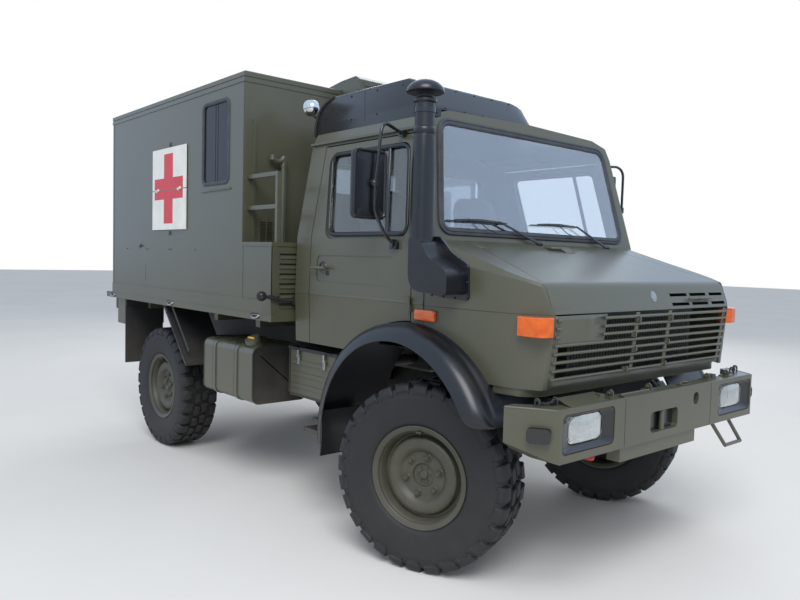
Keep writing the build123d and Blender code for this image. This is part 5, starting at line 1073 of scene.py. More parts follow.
def tankShape():
    t = tank
    def loop(grow, x):
        flat = roundedRect(-t["far"] - grow, t["low"] - grow, -t["near"] + grow, t["high"] + grow,
                           t["corner"] + grow, 7)
        return np.c_[np.full(len(flat), float(x)), flat]
    straps = []
    for dx in tank["straps"]:
        x = frontAxleX + dx
        straps += [blendedSurface([loop(-2, x - 24), loop(6.5, x - 24), loop(6.5, x - 18), loop(4.5, x - 16),
                                   loop(4.5, x + 16), loop(6.5, x + 18), loop(6.5, x + 24),
                                   loop(-2, x + 24)]),
                   barrel((x, -t["far"] + 40, t["high"] + 14), (x, -t["far"] - 4, t["high"] + 14), 7,
                          segments=12), hexHeads([(x, -t["far"] - 4, t["high"] + 14)], (0, -1, 0), 10, 8)]
    ends = []
    for x, out in ((t["front"], 1), (t["rear"], -1)):
        # pressed end: a rolled rim and a shallow dish
        rim = [loop(0, x), loop(3, x + out), loop(4, x + 5 * out), loop(2, x + 9 * out),
               loop(-8, x + 9 * out), loop(-14, x + 4 * out), loop(-60, x + 3 * out)]
        ends.append(blendedSurface(rim if out > 0 else rim[::-1]))
    return joined(*straps, *ends)


def fillerShape():
    start = np.array([tank["neckX"], -1075.0, tank["high"]])
    end = np.array([tank["neckX"], -1112.0, tank["high"] + 62])
    way = (end - start) / np.linalg.norm(end - start)
    neck = lathe([(30, -20), (36, -20), (36, 26), (40, 28), (40, 34), (34, 34)], start, way, 32)
    # cap: domed disc with a grip bar across, both from circles of falling radius
    cap = joined(lathe([(0, 34), (43, 34), (46, 37), (46, 50), (42, 56), (30, 60), (0, 62)], start, way, 40),
                 barrel(start + way * 66 - [36, 0, 0], start + way * 66 + [36, 0, 0], 8, 3, 14))
    return neck, cap


neck, cap = fillerShape()
addPiece("tankStraps", tankShape(), frameEnamel, bevel=1, sharp=34)
addPiece("tankNeck", neck, frameEnamel, sharp=34)
addPiece("tankCap", cap, yellowCap, sharp=36)

battery = {"rear": frontAxleX - 1330, "front": frontAxleX - 775, "near": 600, "far": 960, "low": 740,
           "high": 1075, "stepLow": 520, "stepHigh": 540, "stepNear": 700, "stepRear": frontAxleX - 1130,
           "stepFront": frontAxleX - 790, "pegPitch": 11.5, "slatPitch": 26}


def batteryShape():
    # folded lid, rim and hinges of the box, and its two latches
    b = battery
    y = -b["far"]
    lid = joined(slab((b["rear"] - 5, y - 7, b["high"] - 22), (b["front"] + 5, y, b["high"] + 6), "y", 3),
                 slab((b["rear"] - 5, y - 7, b["high"]), (b["front"] + 5, -b["near"], b["high"] + 6), "z", 4))
    rim = joined(slab((b["rear"], y - 5, b["low"]), (b["rear"] + 14, y, b["high"] - 24), "y", 2),
                 slab((b["front"] - 14, y - 5, b["low"]), (b["front"], y, b["high"] - 24), "y", 2),
                 slab((b["rear"], y - 5, b["low"]), (b["front"], y, b["low"] + 14), "y", 2))
    hinge = joined(*[lathe([(0, -34), (5, -34), (5, 34), (0, 34)], (x, y - 8, b["high"] - 6), (1, 0, 0), 14)
                     for x in (b["rear"] + 90, b["front"] - 90)])
    middle = (b["rear"] + b["front"]) / 2
    latch = joined(*[joined(slab((x - 14, y - 14, 960), (x + 14, y - 4, 1022), "y", 4),
                            slab((x - 9, y - 20, 1012), (x + 9, y - 6, 1058), "y", 5),
                            barrel((x - 16, y - 16, 1016), (x + 16, y - 16, 1016), 5, segments=12))
                     for x in (middle - 150, middle + 150)])
    return joined(lid, rim, hinge), latch


def gratingShape():
    # upright slats across a frame, pegged plate on top for grip
    b = battery
    x0, x1, y0, y1 = b["stepRear"], b["stepFront"], -b["far"] - 4, -b["stepNear"]
    frameBars = joined(slab((x0, y0, b["stepLow"] - 6), (x1, y0 + 5, b["stepHigh"] + 8), "y", 3),
                       slab((x0, y1 - 5, b["stepLow"] - 6), (x1, y1, b["stepHigh"] + 8), "y", 3),
                       slab((x0, y0, b["stepLow"] - 6), (x0 + 5, y1, b["stepHigh"] + 8), "x", 3),
                       slab((x1 - 5, y0, b["stepLow"] - 6), (x1, y1, b["stepHigh"] + 8), "x", 3))
    pegs = range(int((y1 - y0 - 4) / b["pegPitch"]))
    comb = [(y0 + 2, b["stepLow"]),
            *[(y0 + 2 + i * b["pegPitch"], b["stepHigh"] + (9 if i % 2 else 4)) for i in pegs],
            (y1 - 2, b["stepLow"])]
    teeth = []
    for x in np.arange(x0 + 22, x1 - 12, b["slatPitch"]):
        teeth.append(prism(comb, x - 1.5, x + 1.5, "x"))
    return joined(frameBars, *teeth)


lids, latches = batteryShape()
addPiece("batteryBoxTrim", bothSides(lids), frameEnamel, bevel=1)
addPiece("batteryLatches", bothSides(latches), zincPlate, bevel=1)
addPiece("stepGrating", bothSides(gratingShape()), frameEnamel)

guard = {"topX": frontAxleX - 3010, "topZ": 1249, "footX": frontAxleX - 2570, "footZ": 800, "near": 790,
         "far": 1150, "flapX": frontAxleX - 3884, "flapLow": 660}


def mudguardShape():
    # strut from the deck, folded edge, lip and bolts of the slanted sheet, rear post with its flap bolts
    g, x = guard, guard["flapX"]
    strut = swept([(frontAxleX - 2885, -1128, 1240), (frontAxleX - 2559, -1128, 905)],
                  [(-14, -3), (14, -3), (14, 3), (-14, 3)], up=(0, -1, 0))
    top, foot = np.array([g["topX"], g["topZ"]], float), np.array([g["footX"], g["footZ"]], float)
    run = (foot - top) / np.linalg.norm(foot - top)
    edge = swept([(g["topX"], -g["far"], g["topZ"]), (g["footX"], -g["far"], g["footZ"])],
                 [(-9, -4), (9, -4), (9, 3), (-9, 3)], up=(0, -1, 0))
    lip = slab((g["footX"] - 8, -g["far"] - 2, g["footZ"] - 12),
               (g["footX"] + 10, -g["near"], g["footZ"] + 4), "x", 4)
    spots = [top + run * s for s in (90, 300, 520)]
    heads = hexHeads([(u, -g["far"] - 4, v) for u, v in spots], (0, -1, 0), 7, 5)
    post = joined(slab((x - 4, -g["far"], 1190), (x + 22, -g["near"], g["topZ"]), "x", 4),
                  hexHeads([(x - 4, -y, 1215) for y in (830, 930, 1030, 1120)], (-1, 0, 0), 8, 6),
                  slab((x - 3, -g["far"] + 4, g["flapLow"]), (x - 1, -g["near"] - 4, g["flapLow"] + 16),
                       "x", 2))
    return joined(strut, edge, lip, heads, post)


addPiece("mudguardFittings", bothSides(mudguardShape()), frameEnamel, bevel=1)
print("under boxes done")

# Bonnet lid: pressed sheet from the hinge to the lip, air slots left open in its front edge, folded rim

lid = {"rearX": frontAxleX + 190, "rearHalf": 706, "crestX": frontAxleX + 772, "crestZ": 1589,
       "crestHalf": 884, "lipX": frontAxleX + 831, "lipZ": 1446, "lipHalf": 884, "cowlX": frontAxleX + 60,
       "cowlZ": 1800, "wall": 3, "slots": [(217, 412), (446, 640), (684, 852)],
       "rows": [(1514, 1536), (1462, 1484)], "hingeX": frontAxleX + 186, "hingeHalf": 92, "baseZ": 1442}


def topOfNose(x):
    # height of the straight slope from the cowl to the crest
    return lid["cowlZ"] - (lid["cowlZ"] - lid["crestZ"]) / (lid["crestX"] - lid["cowlX"]) * (x - lid["cowlX"])


def frontOfNose(z):
    # X of the leaning front edge at one height
    return lid["lipX"] + (lid["crestX"] - lid["lipX"]) * (z - lid["baseZ"]) / (lid["crestZ"] - lid["baseZ"])


def lidShape():
    # stations along the sheet: x, z, half width; the crest is a quarter curve of 26 mm
    rear = [(x, topOfNose(x)) for x in np.linspace(lid["rearX"], lid["crestX"] - 30, 9)]
    before = np.array([lid["crestX"] - 26, topOfNose(lid["crestX"] - 26)])
    after = np.array([frontOfNose(1563), 1563])
    s = np.linspace(0, 1, 7)[:, None]
    bend = quadraticCurve(before, np.array([lid["crestX"], lid["crestZ"]]), after, s)
    heights = [1536, 1514, 1484, 1462, 1448, lid["lipZ"]]
    front = [(frontOfNose(z), z) for z in heights]
    line = np.array([*rear, *bend, *front, (frontOfNose(lid["lipZ"]) - 10, lid["lipZ"] - 1)])
    line = np.concatenate([[line[0] - [0, 14]], line])
    half = np.interp(line[:, 0], [lid["rearX"], lid["crestX"], lid["lipX"]],
                     [lid["rearHalf"], lid["crestHalf"], lid["lipHalf"]])
    slotLines = sorted({y for pair in lid["slots"] for y in pair})
    u = np.array([-1, -0.985, -0.8, -0.5, -0.2, 0, 0.13, *[y / lid["lipHalf"] for y in slotLines], 0.99, 1])
    y = half[:, None] * u
    corner = frontAxleX + 790 + (900 - np.abs(y)) * 70 / 45
    points = np.stack([np.minimum(line[:, 0, None], corner), y,
                       np.broadcast_to(line[:, 1, None], y.shape)], -1)
    low = points[:, [0, -1]] - [0, 0, 15]
    points = np.concatenate([low[:, :1], points, low[:, 1:]], 1)
    faces = np.array(gridFaces(*points.shape[:2]))
    centre = points.reshape(-1, 3)[faces].mean(1)
    keep = np.ones(len(faces), bool)
    for y0, y1 in lid["slots"]:
        for z0, z1 in lid["rows"]:
            keep &= ~((centre[:, 1] > y0) & (centre[:, 1] < y1) & (centre[:, 2] > z0) & (centre[:, 2] < z1)
                      & (centre[:, 0] > lid["crestX"]))
    return points.reshape(-1, 3), faces[keep].tolist()


def hingeHalf(way):
    # knuckle, bolted leaf and its bolts
    # the lid's half lies forward and left (way 1), the cowl's back and right (way -1)
    x, z = lid["hingeX"], topOfNose(lid["hingeX"]) + 13
    near, far = way * 1.5, way * lid["hingeHalf"]
    leafX, boltX = x + 49 * way, x + 36 * way
    leafZ, boltZ = topOfNose(leafX), topOfNose(boltX) + 6
    leaf = [(x + 4 * way, z - 4), (x + 4 * way, z + 3), (leafX, leafZ + 6), (leafX, leafZ)]
    low, high = min(near, far), max(near, far)
    return joined(barrel((x, low, z), (x, high, z), 9.5, 1.5, 20), prism(leaf, low, high),
                  hexHeads([(boltX, low + 10, boltZ), (boltX, high - 10, boltZ)], (0.28, 0, 0.96), 5, 4))


def lidFittings():
    # louvre lips over the slots and the T handle of the lid's catch between the two rows
    lip = [(-3, -2), (1, 3), (5, -3), (3, -6)]
    lips = [prism([(frontOfNose(top) + dx, top + dz) for dx, dz in lip], y0 - 4, y1 + 4)
            for y0, y1 in lid["slots"] for top in np.array(lid["rows"])[:, 1]]
    z = 1499
    x = frontOfNose(z)
    catch = joined(barrel((x - 2, 540, z), (x + 20, 540, z + 6), 9, 2, 20), tube([
        (x + 17, 400, z + 3), (x + 22, 440, z + 5), (x + 22, 640, z + 5), (x + 17, 680, z + 3)], 6, 20, 12))
    return joined(hingeHalf(1), *lips, catch)


def lidPlate():
    # blank oval plate on the lid's front: rings of one ellipse, domed
    z, x = 1517, frontOfNose(1517)
    t = np.linspace(0, tau, 32, endpoint=False)
    lean = np.array([lid["crestX"] - lid["lipX"], 0, lid["crestZ"] - lid["baseZ"]])
    lean = lean / np.hypot(lean[0], lean[2])
    out = np.array([lean[2], 0, -lean[0]])

    def ring(a, b, d):
        return np.array([x, 42, z]) + np.cos(t)[:, None] * [0, a, 0] + np.sin(t)[:, None] * lean * b + out * d
    return blendedSurface([ring(29, 31, -1), ring(29, 31, 2.5), ring(26, 28, 4), ring(12, 13, 5)])


addPiece("bonnetLid", lidShape(), olivePaint, "bonnet", bevel=1.2, sharp=28, wall=lid["wall"],
         stands=["bonnet"])
addPiece("bonnetFittings", lidFittings(), olivePaint, "bonnet", bevel=1)
addPiece("bonnetBadge", lidPlate(), zincPlate, "bonnet", sharp=40)
print("bonnet done")

# Nose sides: one pressed sheet a side from the lid's seam over the bevel,
# round the front corner and down to the arch

nose = {"rearX": frontAxleX + 62, "crestX": frontAxleX + 772, "crestZ": 1589, "lipX": frontAxleX + 831,
        "lipZ": 1442, "footX": frontAxleX + 791, "footZ": 1092, "low": 1083, "bevelY": 940, "seamGap": 6,
        "archX": frontAxleX - 35, "archZ": 620, "archRadius": 725, "foldZ": 1441, "wall": 3, "cowlRun": 122,
        "cowlHalf": 712, "skirt": 14}
nosePlan = [(0, 1003), (470, 983), (610, 966), (722, 910), (782, 868)]


def noseLimit(z):
    # X of the front outline at each height: grille lean below the lip, lid lean above it
    n = nose
    low = n["footX"] + (n["lipX"] - n["footX"]) * (z - n["footZ"]) / (n["lipZ"] - n["footZ"])
    high = n["lipX"] - (n["lipX"] - n["crestX"]) * (z - n["lipZ"]) / (n["crestZ"] - n["lipZ"])
    return np.where(z < n["lipZ"], low, high)


def noseSide():
    # one column of points at each place of the plan: top, bevel, fold and wall down to the arch
    n = nose
    plan = curveThrough(roundedPath(np.array(nosePlan, float) + [n["rearX"], 0], 90, 7), 64)
    columns, cowlEnd = [], n["rearX"] + n["cowlRun"]
    slope = (n["crestZ"] - n["lipZ"]) / (n["lipX"] - n["crestX"])
    for px, py in plan:
        overLip = max(n["crestZ"] - (px - n["crestX"]) * slope, n["lipZ"] - 2)
        top = topOfNose(px) if px <= n["crestX"] else overLip
        seam = np.interp(px, [cowlEnd, cowlEnd + 2, n["crestX"]],
                         [n["cowlHalf"], n["cowlHalf"], lid["crestHalf"] + n["seamGap"]])
        seam = min(seam, py)
        start = np.interp(px, [frontAxleX + 400, frontAxleX + 740], [n["bevelY"], py - 14])
        start = min(max(start, seam), py)
        drop = top - (py - start) * 0.95
        reach = n["archRadius"] ** 2 - (px - n["archX"]) ** 2
        low = max(n["low"], n["archZ"] + np.sqrt(max(reach, 0)))
        fold = min(n["foldZ"], drop - 6)
        rows = [(seam, top - n["skirt"]), (seam, top), ((seam + start) / 2, top), (start, top),
                ((start + py) / 2, (top + drop) / 2), (py, drop), (py, (drop + fold) / 2), (py, fold + 2.5),
                (py - 2.2, fold), (py, fold - 2.5)]
        rows += [(py, z) for z in np.linspace(fold - 2.5, low, 8)[1:]] + [(py - 16, low)]
        rows = np.array(rows)
        columns.append(np.stack([np.minimum(px, noseLimit(rows[:, 1])), -rows[:, 0], rows[:, 1]], -1))
    grid = np.array(columns)
    return grid.reshape(-1, 3), gridFaces(*grid.shape[:2])


def cowlShape():
    # plain strip between cab and lid, its front edge folded down
    end, half = nose["rearX"] + nose["cowlRun"], nose["cowlHalf"]
    x = np.r_[np.linspace(nose["rearX"], end, 6), end]
    z = topOfNose(x) - np.r_[np.zeros(6), nose["skirt"]]
    points = np.stack(np.broadcast_arrays(x[:, None], np.linspace(-half, half, 25)[None], z[:, None]), -1)
    return points.reshape(-1, 3), gridFaces(*points.shape[:2])


addPiece("noseSides", bothSides(noseSide()), olivePaint, bevel=4, segments=3, sharp=30,
         wall=nose["wall"], stands=["front_wings"])
addPiece("cowlPanel", cowlShape(), olivePaint, sharp=30, wall=nose["wall"])
addPiece("bonnetFixedHinges", hingeHalf(-1), olivePaint, bevel=1)

# Grille: pressed sheet with its slots left open, half-round bars in front,
# two posts with bolted gussets, radiator behind

grille = {"low": 1134, "pitch": 41.4, "slot": 28, "rows": 7, "full": 4, "side": 820, "blank": -440,
          "half": 862, "posts": (-150, 184), "postHalf": 17, "bar": 9}


def grilleSheet():
    # grid of the sheet without the faces inside a slot; row = floor((z - low) / pitch)
    g = grille
    z = [nose["footZ"] + 4,
         *[g["low"] + k * g["pitch"] + d for k in range(g["rows"]) for d in (0, g["slot"])], 1438]
    y = sorted([-g["half"], -g["side"], g["blank"], g["half"], g["side"], -600, 0, 400,
                *[p + s * g["postHalf"] for p in g["posts"] for s in (-1, 1)]])
    z, y = np.array(z, float), np.array(y, float)
    points = np.stack(np.broadcast_arrays(noseLimit(z)[:, None] - 2, y[None], z[:, None]), -1)
    hem = points[:1] - [24, 0, 6]
    points = np.concatenate([hem, points])
    faces = np.array(gridFaces(*points.shape[:2]))
    centre = points.reshape(-1, 3)[faces].mean(1)
    row = np.floor((centre[:, 2] - g["low"]) / g["pitch"])
    inRow = (row >= 0) & (centre[:, 2] - g["low"] - row * g["pitch"] < g["slot"])
    inSlot = inRow & (np.abs(centre[:, 1]) < g["side"])
    clear = np.all([np.abs(centre[:, 1] - p) > g["postHalf"] for p in g["posts"]], 0)
    blank = (row >= g["full"]) & (centre[:, 1] < g["blank"])
    return points.reshape(-1, 3), faces[~(inSlot & clear & ~blank)].tolist()


def grilleBars():
    # half round bars (-b cos a, 1.15 b sin a) between the slots, gussets on the posts
    g = grille
    half = [(-g["bar"] * cos(a), g["bar"] * 1.15 * sin(a)) for a in np.linspace(0, pi, 9)]
    bars = []
    for k in range(g["rows"] + 1):
        z = g["low"] + k * g["pitch"] - (g["pitch"] - g["slot"]) / 2
        x = float(noseLimit(np.array(z)))
        start, end = -g["half"] + 4, g["half"] - 4
        runs = [(start, end)] if k <= g["full"] else [(start, start + 34), (g["blank"] - 26, end)]
        bars += [swept([(x, y0, z), (x, y1, z)], half, up=(1, 0, 0)) for y0, y1 in runs]
    gussets = []
    for y, z in [(-175, 1322), (-215, 1134), (-150, 1400), (184, 1400), (184, 1134), (-150, 1240),
                 (184, 1260)]:
        x = float(noseLimit(np.array(float(z)))) + 8
        gussets.append(joined(slab((x - 8, y - 24, z - 15), (x, y + 24, z + 15), "x", 3),
                              slab((x - 8, y - 5, z - 15), (x + 12, y + 5, z + 15), "y", 5),
                              hexHeads([(x, y - 15, z), (x, y + 15, z)], (1, 0, 0), 5, 5)))
    latch = hexHeads([(float(noseLimit(np.array(z))), -846, z) for z in (1312.0, 1332.0)], (1, 0, 0), 5, 4)
    return joined(*bars, *gussets, latch)


def radiatorShape():
    # tank top and bottom, core between them drawn with upright fins
    x0, x1 = frontAxleX + 660, frontAxleX + 720
    fins = [slab((x1, y - 2, 1100), (x1 + 5, y + 2, 1400), "x", 0) for y in np.arange(-590, 600, 26)]
    return joined(slab((x0, -620, 1060), (x1, 620, 1430), "x", 12),
                  slab((x0 - 10, -630, 1392), (x1 + 10, 630, 1436), "x", 14),
                  slab((x0 - 10, -630, 1052), (x1 + 10, 630, 1096), "x", 14), *fins)


addPiece("grilleSheet", grilleSheet(), olivePaint, sharp=30, wall=3, stands=["grille"])
addPiece("grilleBars", grilleBars(), olivePaint, sharp=40)
addPiece("radiator", radiatorShape(), frameEnamel, bevel=1.5)

# Bumper: rolled edges, painted shade in its openings (dark plates set in them), painted shade of the
# grooves beside the centre part (dark strips), ramp plate, ears, stirrup, chain

bumper = {"face": frontAxleX + 960, "kink": 976, "tipX": frontAxleX + 739, "tip": 1112, "low": 795,
          "high": 1026}


def bumperEdges():
    # rolled edge swept along the bumper's plan, and the painted shade of the two grooves drawn as dark strips
    b = bumper
    turn = [(-5, -5), (-1, -5), (2.5, -3.6), (4.4, -1), (5, 3), (-5, 3)]
    plan = [(b["tipX"] + 2, -b["tip"] + 4), (b["face"] - 5, -b["kink"] + 2), (b["face"] - 5, b["kink"] - 2),
            (b["tipX"] + 2, b["tip"] - 4)]
    path = roundedPath([(x, y, b["high"] - 3) for x, y in plan], 14, 5)
    top = swept(path, [(u, -v) for u, v in turn], up=(0, 0, 1))
    # painted shade: dark strips standing in for the shadow in the two grooves
    grooveShade = joined(*[slab((b["face"] - 1, y - 2, 776), (b["face"] + 0.8, y + 2, b["high"] - 4), "x", 0)
                     for y in (-447, 447)])
    return top, grooveShade


def bumperTop():
    b = bumper
    x, z = b["face"], b["high"]
    # ramp plate: rises toward the nose behind the lamp, rolled over at its back
    ramp = prism([(x - 6, z), (x - 52, z + 12), (x - 96, z + 30), (x - 108, z + 30), (x - 108, z + 26),
                  (x - 98, z + 26), (x - 54, z + 8), (x - 6, z - 2)], -878, -575)
    step = [(x - 8, z), (x - 30, z + 9), (x - 44, z + 9), (x - 44, z + 5), (x - 30, z + 5), (x - 8, z - 2)]
    shelf = joined(prism(step, -440, -170), tube([(x - 40, -440, z + 9), (x - 40, -170, z + 9)], 6))
    ear = [(x - 84, z), (x - 36, z), (x - 40, z + 30), (x - 56, z + 42), (x - 76, z + 30)]
    ears = [joined(slab((x - 92, y - 30, z), (x - 34, y + 30, z + 6), "z", 6), prism(ear, y - 4, y + 4),
                   barrel((x - 60, y - 14, z + 22), (x - 60, y + 14, z + 22), 6, 2, 16))
            for y in (-500, -140, 500, 745)]
    catch = joined(slab((x - 62, 150, z), (x - 18, 250, z + 8), "z", 6),
                   tube([(x - 40, 150, z + 8), (x - 40, 180, z + 22), (x - 40, 240, z + 12)], 5, 14, 10))
    return joined(ramp, shelf, *ears, catch)


def bumperLinings():
    # painted shade: dark plates behind the openings of the centre part, standing in for the shade inside them
    b = bumper
    x = b["face"]
    hook = slab((x - 36, -204, 816), (x - 33, 71, 924), "x", 23)
    oval = slab((x - 36, 243, 916), (x - 33, 299, 984), "x", 27)
    return joined(hook, oval)


def wingSlot():
    # painted shade: a dark plate in the slot of the bumper's swept-back end, on that slanted face; and the slot's
    # rim
    start = np.array([bumper["face"], -bumper["kink"], 0.0])
    end = np.array([bumper["tipX"], -bumper["tip"], 0.0])
    way = (end - start) / np.linalg.norm(end - start)
    out = np.array([way[1], -way[0], 0])
    flat = roundedRect(39.7, 870, 149.7, 940, 19, 6)

    def ring(d):
        return start + flat[:, :1] * way + [0, 0, 1] * flat[:, 1:] + out * d
    slotShade = blendedSurface([ring(-35.8), ring(-33)])
    rim = swept(ring(0), [(-2, -1), (4, -1), (4, 2), (0, 3), (-2, 2)], closed=True, up=out)
    return slotShade, rim


edges, grooveShade = bumperEdges()
slotShade, slotRim = wingSlot()
addPiece("bumperEdges", edges, olivePaint, sharp=60)
addPiece("bumperTopPlates", bumperTop(), olivePaint, bevel=1.2)
addPiece("bumperSlotRims", bothSides(slotRim), olivePaint, sharp=50)
# painted shade: the dark plates in the bumper's openings and the dark strips in its grooves
addPiece("bumperOpenings", joined(grooveShade, bumperLinings(), bothSides(slotShade)), blackCoat,
         bevel=0.5)


chain = {"start": np.array([frontAxleX + 842, -1000.0, 1052]),
         "end": np.array([frontAxleX + 868, -900.0, 1056]), "sag": 18, "links": 9}


def chainShape():
    # oval links along a hanging curve, each turned a quarter from the last; drop = sag 4 s (1 - s)
    start, end = chain["start"], chain["end"]
    s = np.linspace(0, 1, chain["links"])
    hang = np.stack([0 * s, 0 * s, chain["sag"] * 4 * s * (1 - s)], -1)
    centres = start + (end - start) * s[:, None] - hang
    ways = np.gradient(centres, axis=0)
    t = np.linspace(0, tau, 18, endpoint=False)
    links = []
    for k, (centre, way) in enumerate(zip(centres, ways)):
        way = way / np.linalg.norm(way)
        across = np.cross(way, [1, 0, 0] if k % 2 else [0, 0, 1])
        across /= np.linalg.norm(across)
        loop = centre + np.cos(t)[:, None] * way * 10 + np.sin(t)[:, None] * across * 5.6
        links.append(swept(loop, ringProfile(2.4, 8), closed=True, up=np.cross(way, across)))
    shackle = [tube([(p[0] - 12, p[1], 1026), (p[0] - 12, p[1], 1062), (p[0] + 12, p[1], 1062),
                     (p[0] + 12, p[1], 1026)], 4.5, 12, 10) for p in (start, end)]
    return joined(*links, *shackle)


addPiece("bumperChain", bothSides(chainShape()), castIron, sharp=50)
coupling = joined(lathe([(0, 0), (26, 0), (30, 4), (30, 18), (25, 24), (0, 26)],
                        (bumper["face"] - 60, -670, 748), (0.4, 0, 1), 28),
                  slab((bumper["face"] - 78, -682, 740), (bumper["face"] - 30, -658, 752), "z", 5))
addPiece("airCoupling", coupling, redCap, bevel=1)
valancePlan = [(540, -966), (695, -944), (752, -866), (752, 866), (695, 944), (540, 966)]
valance = swept(roundedPath([(frontAxleX + x, y, 1062) for x, y in valancePlan], 30, 5),
                [(-5, -20), (4, -20), (5, -16), (5, 24), (-5, 24)])
addPiece("noseValance", valance, olivePaint, bevel=1.5)
print("front done")

# Fairing on the cab roof: one moulded shell with bolts, a seam and a rubber edge on the open side

fairing = {"right": -835, "left": 172, "front": frontAxleX - 193, "crest": frontAxleX - 296,
           "rear": frontAxleX - 1262, "top": 2744, "low": 2566, "bow": 215}


def fairingRing(y, inset):
    # outline at one place across: sloping front, flat top, rear falling as a quarter circle
    # lower towards the left
    f = fairing
    drop = 26 * np.clip((y - 40) / 130, 0, 1) ** 1.5
    top = f["top"] - inset - drop
    t = np.linspace(0, pi / 2, 9)
    bowX, bowZ = f["rear"] + f["bow"], f["top"] - f["bow"]
    front = roundedPath([(f["front"] - 20, 2566), (f["front"] - inset * 0.6, f["low"] + 2),
                         (f["crest"] - inset * 0.4, top), (f["crest"] - 200, top)], 34, 6)
    rear = np.stack([bowX - (f["bow"] - inset) * np.sin(t),
                     bowZ + (f["bow"] - inset) * np.cos(t) - drop * (1 - t / (pi / 2))], -1)
    floorZ = 2498 if y < -700 else 2536
    outline = np.concatenate([front, rear, [
        (f["rear"] + inset, floorZ), (f["front"] - 60, floorZ), (f["front"] - 60, 2566)]])
    return np.c_[outline[:, 0], np.full(len(outline), float(y)), outline[:, 1]]


def fairingShape():
    # skin over the outlines across, drawn in at both ends
    f = fairing
    stations = [(f["right"], 14), (f["right"] + 4, 5), (f["right"] + 14, 0), (-690, 0), (-300, 0), (0, 0),
                (60, 0), (110, 0), (f["left"] - 24, 2), (f["left"] - 8, 9), (f["left"], 24)]
    return blendedSurface([fairingRing(y, inset) for y, inset in stations])


def fairingFittings():
    # bolt rows on the slope and the side, seam, two stubs, rubber edge along the bow
    f = fairing
    foot, crest = np.array([f["front"], f["low"]]), np.array([f["crest"], f["top"]])
    slope = (crest - foot) / np.linalg.norm(crest - foot)
    rows = [foot + slope * s for s in (20, 176)]
    heads = hexHeads([(x, y, z) for x, z in rows for y in np.linspace(f["right"] + 40, 20, 6)],
                     (slope[1], 0, -slope[0]), 6, 4)
    sideHeads = hexHeads([(x, f["right"], z) for x, z in [
        (f["front"] - 44, 2590), (f["crest"] - 60, 2710), (f["crest"] - 300, 2715), (f["crest"] - 560, 2715),
        (f["rear"] + 120, 2610), (f["crest"] - 300, 2570), (f["crest"] - 560, 2570)]], (0, -1, 0), 6, 4)
    seam = slab((f["crest"] - 420, f["right"] - 1.2, 2540), (f["crest"] - 416, f["right"] + 2, f["top"] - 14),
                "y", 0)
    bow = [(-2, 2500), (20, 2620), (90, 2700), (f["bow"], f["top"] - 6)]
    edge = tube([(f["rear"] + dx, f["right"] + 2, z) for dx, z in bow], 10, 50, 12)
    stubs = [joined(barrel((x, y, 2738), (x, y, 2762), 15, 4, 20),
                    barrel((x, y, 2760), (x, y, 2768), 9, 3, 16))
             for x, y in ((frontAxleX - 420, -432), (frontAxleX - 432, -185))]
    return joined(heads, sideHeads, seam, *stubs), edge


heads, edge = fairingFittings()
addPiece("roofFairing", fairingShape(), blackCoat, bevel=3, sharp=34, stands=["cab_fairing"])
addPiece("fairingFittings", heads, blackCoat, bevel=0.8)
addPiece("fairingEdge", edge, flapRubber, sharp=50)

roofUnit = {"half": 343, "top": [(-273, 2985), (37, 3030), (217, 3040), (269, 3010)]}


def roofUnitShape():
    # raised ribs along the sloping top, bolts round the front and the side frames
    r = roofUnit
    top = np.array(r["top"], float)
    ribs = [swept([(x, y, z - 6) for x, z in top[:3]], [(-9, 0), (9, 0), (6, 5), (-6, 5)], up=(0, 0, 1))
            for y in (-230, -80, 80, 230)]
    front = hexHeads([(269, y, z) for y in np.linspace(-300, 300, 6) for z in (2925, 2990)], (1, 0, 0), 6, 4)
    grid = [slab((267, -290, z), (274, 290, z + 6), "x", 1) for z in (2944, 2956, 2968)]
    sides = [hexHeads([(x, s * r["half"], z) for x, z in [
        (80, 2912), (80, 3018), (150, 3026), (200, 3028), (262, 2990), (262, 2930), (170, 2912)]], (0, s, 0),
        6, 4) for s in (-1, 1)]
    return joined(*ribs, front, *grid, *sides)


addPiece("roofUnitFittings", roofUnitShape(), olivePaint, bevel=1.2)
print("roof done")

# Cab inside: two seats on pedestals, grained dashboard with hooded dials,
# steering wheel with its column, pedals, levers

seat = {"places": {"right": -480, "left": 420}, "half": 245, "rear": frontAxleX - 908,
        "front": frontAxleX - 404, "low": 1425, "high": 1565, "backTop": 2160, "pedestalLow": 1168}


def paddedBlock(low, high, crown, pull, count=26, power=5.0):
    # closed cushion: a superellipsoid |u|^p + |v|^p + |w|^2.6 = 1,
    # its top crowned, its sides drawn in between corners
    a, b = np.meshgrid(np.linspace(-pi / 2, pi / 2, count), np.linspace(0, tau, 2 * count, endpoint=False),
                       indexing="ij")
    c = np.sign(np.cos(b)) * np.abs(np.cos(b)) ** (2 / power)
    s = np.sign(np.sin(b)) * np.abs(np.sin(b)) ** (2 / power)
    ring = np.abs(np.cos(a)) ** (2 / 3.2)
    u, v, w = ring * c, ring * s, np.sign(np.sin(a)) * np.abs(np.sin(a)) ** (2 / 2.6)
    waist = 1 - pull * (1 - np.abs(u) ** 2) * (np.abs(v) > 0.6) * np.abs(v)
    middle, size = (np.array(low) + high) / 2, (np.array(high) - low) / 2
    points = np.stack([middle[0] + size[0] * u, middle[1] + size[1] * v * waist,
                       middle[2] + size[2] * w * (1 - crown * (u ** 2 + v ** 2) / 2)], -1)
    return points.reshape(-1, 3), gridFaces(*a.shape, closeCols=True)


def channelled(shape, axis, places, depth, width, upper=2):
    # sewn channels: points near each line across the pad drop by depth exp(-(d/width)^2) on its outer side
    points = shape[0].copy()
    middle = (points[:, upper].min() + points[:, upper].max()) / 2
    outer = np.clip((points[:, upper] - middle) / (points[:, upper].max() - middle), 0, 1)
    for place in places:
        points[:, upper] -= depth * np.exp(-((points[:, axis] - place) / width) ** 2) * outer
    return points, shape[1]


